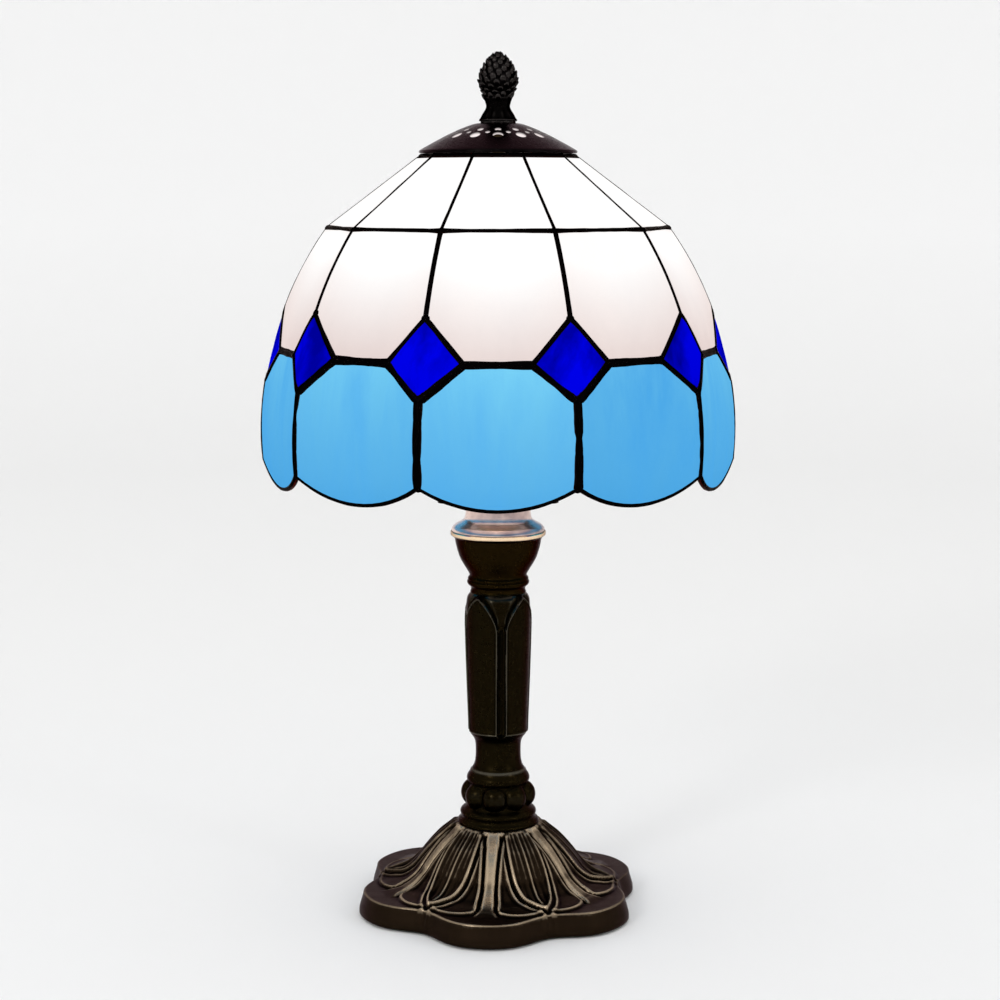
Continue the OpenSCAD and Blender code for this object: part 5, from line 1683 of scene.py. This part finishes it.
def threaded(inner, outer, low, high, depth, name, steps=72, rows_per_turn=10):
    """A thin tube whose wall follows a rounded screw thread, inside and outside."""
    rows = int((high - low) / LEAD * rows_per_turn) + 1
    z = np.linspace(low, high, rows)
    a = np.arange(steps) * TAU / steps
    wave = np.sin(TAU * ((z[None, :] - low) / LEAD - a[:, None] / TAU))
    fade = np.clip(np.minimum(z - low, high - z) / 1.5, 0, 1)
    radii = np.concatenate([outer + depth * (wave - 1) * fade,
                            (inner + depth * (wave - 1) * fade)[:, ::-1]], axis=1)
    zz = np.concatenate([z, z[::-1]])
    points = np.stack([radii * np.sin(a)[:, None], -radii * np.cos(a)[:, None],
                       np.broadcast_to(zz, radii.shape)], -1).reshape(-1, 3)
    n = radii.shape[1]
    faces = [(j * n + k, j * n + (k + 1) % n, (j + 1) % steps * n + (k + 1) % n, (j + 1) % steps * n + k)
             for j in range(steps) for k in range(n)]
    return piece_from(name, points, faces, 40)


sleeve = threaded(SLEEVE_R + 0.3, sleeve_high[0], sleeve_low[2], sleeve_high[2], 0.15, "threaded_sleeve")
finish_piece(sleeve, brass, "root", "brass", "screw_shell")

tongue_low, tongue_high = box_mm("centre_contact")
strip = flow([(-8, 0.3), (-3, 0.3), (-1.2, 0.32), (0.5, 0.8), (3.6, 1.9), (4.9, 2.2), (5.8, 2.2),
              (7, 2.15)], 4)
half_t, half_w = 0.27, tongue_high[1] - 0.2
run = np.gradient(strip, axis=0)
run /= np.linalg.norm(run, axis=1, keepdims=True)
side = np.column_stack([-run[:, 1], run[:, 0]]) * half_t
loop = np.vstack([strip + side, (strip - side)[::-1]])
n = len(loop)
points = np.vstack([[(x, y, tongue_low[2] + z) for x, z in loop] for y in (-half_w, half_w)])
faces = [(k, (k + 1) % n, n + (k + 1) % n, n + k) for k in range(n)]
m = len(strip)
faces += [(k, k + 1, n - 2 - k, n - 1 - k) for k in range(m - 1)]
faces += [(n + k, n + n - 1 - k, n + n - 2 - k, n + k + 1) for k in range(m - 1)]
finish_piece(piece_from("sprung_contact", points, faces, 30), brass, "root", "brass", "centre_contact")

# %% [markdown]
# The bulb: a frosted globe that runs down into a neck, a rolled screw cap and a soldered tip in black
# glass. It is lit, so its glass gives light of its own, as the panes do.

# %% The bulb
glow_low, glow_high = box_mm("bulb_glass")
globe_r, globe_z, GLASS_WALL = glow_high[0], glow_high[2] - glow_high[0], 0.8
neck = flow([(13.4, glow_low[2]), (14.2, glow_low[2] + 3.7), (17.4, glow_low[2] + 11.7),
             (23.4, globe_z - globe_r * 0.571), (globe_r * 0.96, globe_z - globe_r * 0.28),
             (globe_r, globe_z)], 7)
dome = [(globe_r * math.cos(a), globe_z + globe_r * math.sin(a))
        for a in np.linspace(0, math.pi / 2, 22)[1:]]
outer = np.vstack([neck, dome])
ratio = (globe_r - GLASS_WALL) / globe_r
inner = np.vstack([neck - (GLASS_WALL, 0),
                   [(r * ratio, globe_z + (z - globe_z) * ratio) for r, z in dome]])
outer[-1, 0] = inner[-1, 0] = 0.0
bulb = turned("bulb_globe", np.vstack([outer, inner[::-1]]), 96)
face_outwards(bulb)
finish_piece(bulb, lit_bulb, "bulb", "bulb_glass", "bulb_glass")

metal_low, metal_high = box_mm("bulb_cap")
metal_r = metal_high[0]
crimped = threaded(metal_r - 0.3, metal_r, metal_low[2] + 2.2, metal_high[2] - 0.6, 0.15, "crimped_cap")
collar_section = [(metal_r - 1.4, metal_low[2] + 0.3), (metal_r - 1.0, metal_low[2]),
                  (metal_r - 0.05, metal_low[2] + 1.6),
                  (metal_r - 0.05, metal_low[2] + 2.4), (metal_r - 0.5, metal_low[2] + 2.4),
                  (metal_r - 0.6, metal_low[2] + 1.7)]
top_section = [(metal_r - 0.6, metal_high[2] - 0.8), (metal_r - 0.03, metal_high[2] - 0.8),
               (metal_r - 0.03, metal_high[2] - 0.1), (metal_r - 0.15, metal_high[2]),
               (metal_r - 0.6, metal_high[2])]
bulb_screw = joined("bulb_screw_cap", [crimped, turned("cap_low", collar_section, 72),
                                       turned("cap_top", top_section, 72)])
face_outwards(bulb_screw)
finish_piece(bulb_screw, bulb_metal, "bulb", "bulb_metal", "bulb_cap")

tip_low, tip_high = box_mm("bulb_tip")
section = np.vstack([[(0.0, tip_low[2]), (2.6, tip_low[2])],
                     flow([(3.6, tip_low[2] + 0.1), (4.3, tip_low[2] + 0.7), (4.7, tip_low[2] + 0.95),
                           (7.5, tip_low[2] + 1.5), (tip_high[0], tip_low[2] + 2.3)], 4),
                     [(tip_high[0], tip_high[2]), (0.0, tip_high[2])]])
finish_piece(turned("soldered_tip", section, 64), insulator, "bulb_lead", "insulator", "bulb_tip")

# %% [markdown]
# The set is a wide pale dish, level under the lamp and curving up all round, so that no horizon shows
# from any side. A soft light from the upper left and a weaker one from the right model the metal.

# %% Floor, lights and camera
FLOOR_R, DISH_R, DISH_H = 1.5, 2.6, 2.2
rim = [(FLOOR_R + (DISH_R - FLOOR_R) * math.sin(t), DISH_H * (1 - math.cos(t)))
       for t in np.linspace(0, math.pi / 2, 12)]
dish_section = np.array([(0.0, 0.0)] + rim) / MM
steps = 96
points = [(r * math.sin(a), -r * math.cos(a), z)
          for a in np.arange(steps) * TAU / steps for r, z in dish_section]
count = len(dish_section)
faces = [(j * count + k, (j + 1) % steps * count + k, (j + 1) % steps * count + k + 1, j * count + k + 1)
         for j in range(steps) for k in range(count - 1)]
floor = piece_from("floor", points, faces)
paper, tree, shader, where = new_finish("backdrop_paper", Roughness=0.9, Specular_IOR_Level=0.1)
height = add(tree, "ShaderNodeSeparateXYZ", {0: where}).outputs[2]
paleness = number_math(tree, "ADD", between(tree, height, 0.0, 1.0, 0.0, 0.5),
                       between(tree, noise(tree, where, 2.0, 2), -0.02, 0.02))
tree.links.new(colour_steps(tree, paleness, (0.0, (0.84, 0.84, 0.837)), (0.5, (0.9, 0.9, 0.9))),
               shader.inputs["Base Color"])
floor.data.materials.append(paper)

scene = bpy.context.scene
scene.view_settings.view_transform = "Standard"
ROOM_LIGHT = 1.09
world = bpy.data.worlds.new("studio")
scene.world = world
world.use_nodes = True
world.node_tree.nodes["Background"].inputs["Color"].default_value = (1.0, 1.0, 1.0, 1)
world.node_tree.nodes["Background"].inputs["Strength"].default_value = ROOM_LIGHT


def soft_light(name, place, aim, size, power):
    """A square soft light at a place, in metres, that points at another."""
    data = bpy.data.lights.new(name, "AREA")
    data.size, data.energy = size, power
    lamp = bpy.data.objects.new(name, data)
    lamp.location = place
    lamp.rotation_euler = (Vector(aim) - Vector(place)).to_track_quat("-Z", "Y").to_euler()
    scene.collection.objects.link(lamp)


soft_light("key", (-0.9, -1.3, 0.9), (0, 0, 0.12), 0.35, 5.0)
soft_light("fill", (1.3, -1.0, 0.7), (0, 0, 0.12), 0.3, 2.0)

CAMERA_AT, LENS_MM, LOOKS_DOWN = (0.0008, -0.912, 0.3132), 77.3, 0.146    # metres, mm, radians
camera_data = bpy.data.cameras.new("camera")
camera_data.sensor_width = 36
camera_data.lens = LENS_MM
camera = bpy.data.objects.new("camera", camera_data)
camera.location = CAMERA_AT
camera.rotation_euler = (math.pi / 2 - LOOKS_DOWN, 0, 0)
scene.collection.objects.link(camera)
scene.camera = camera
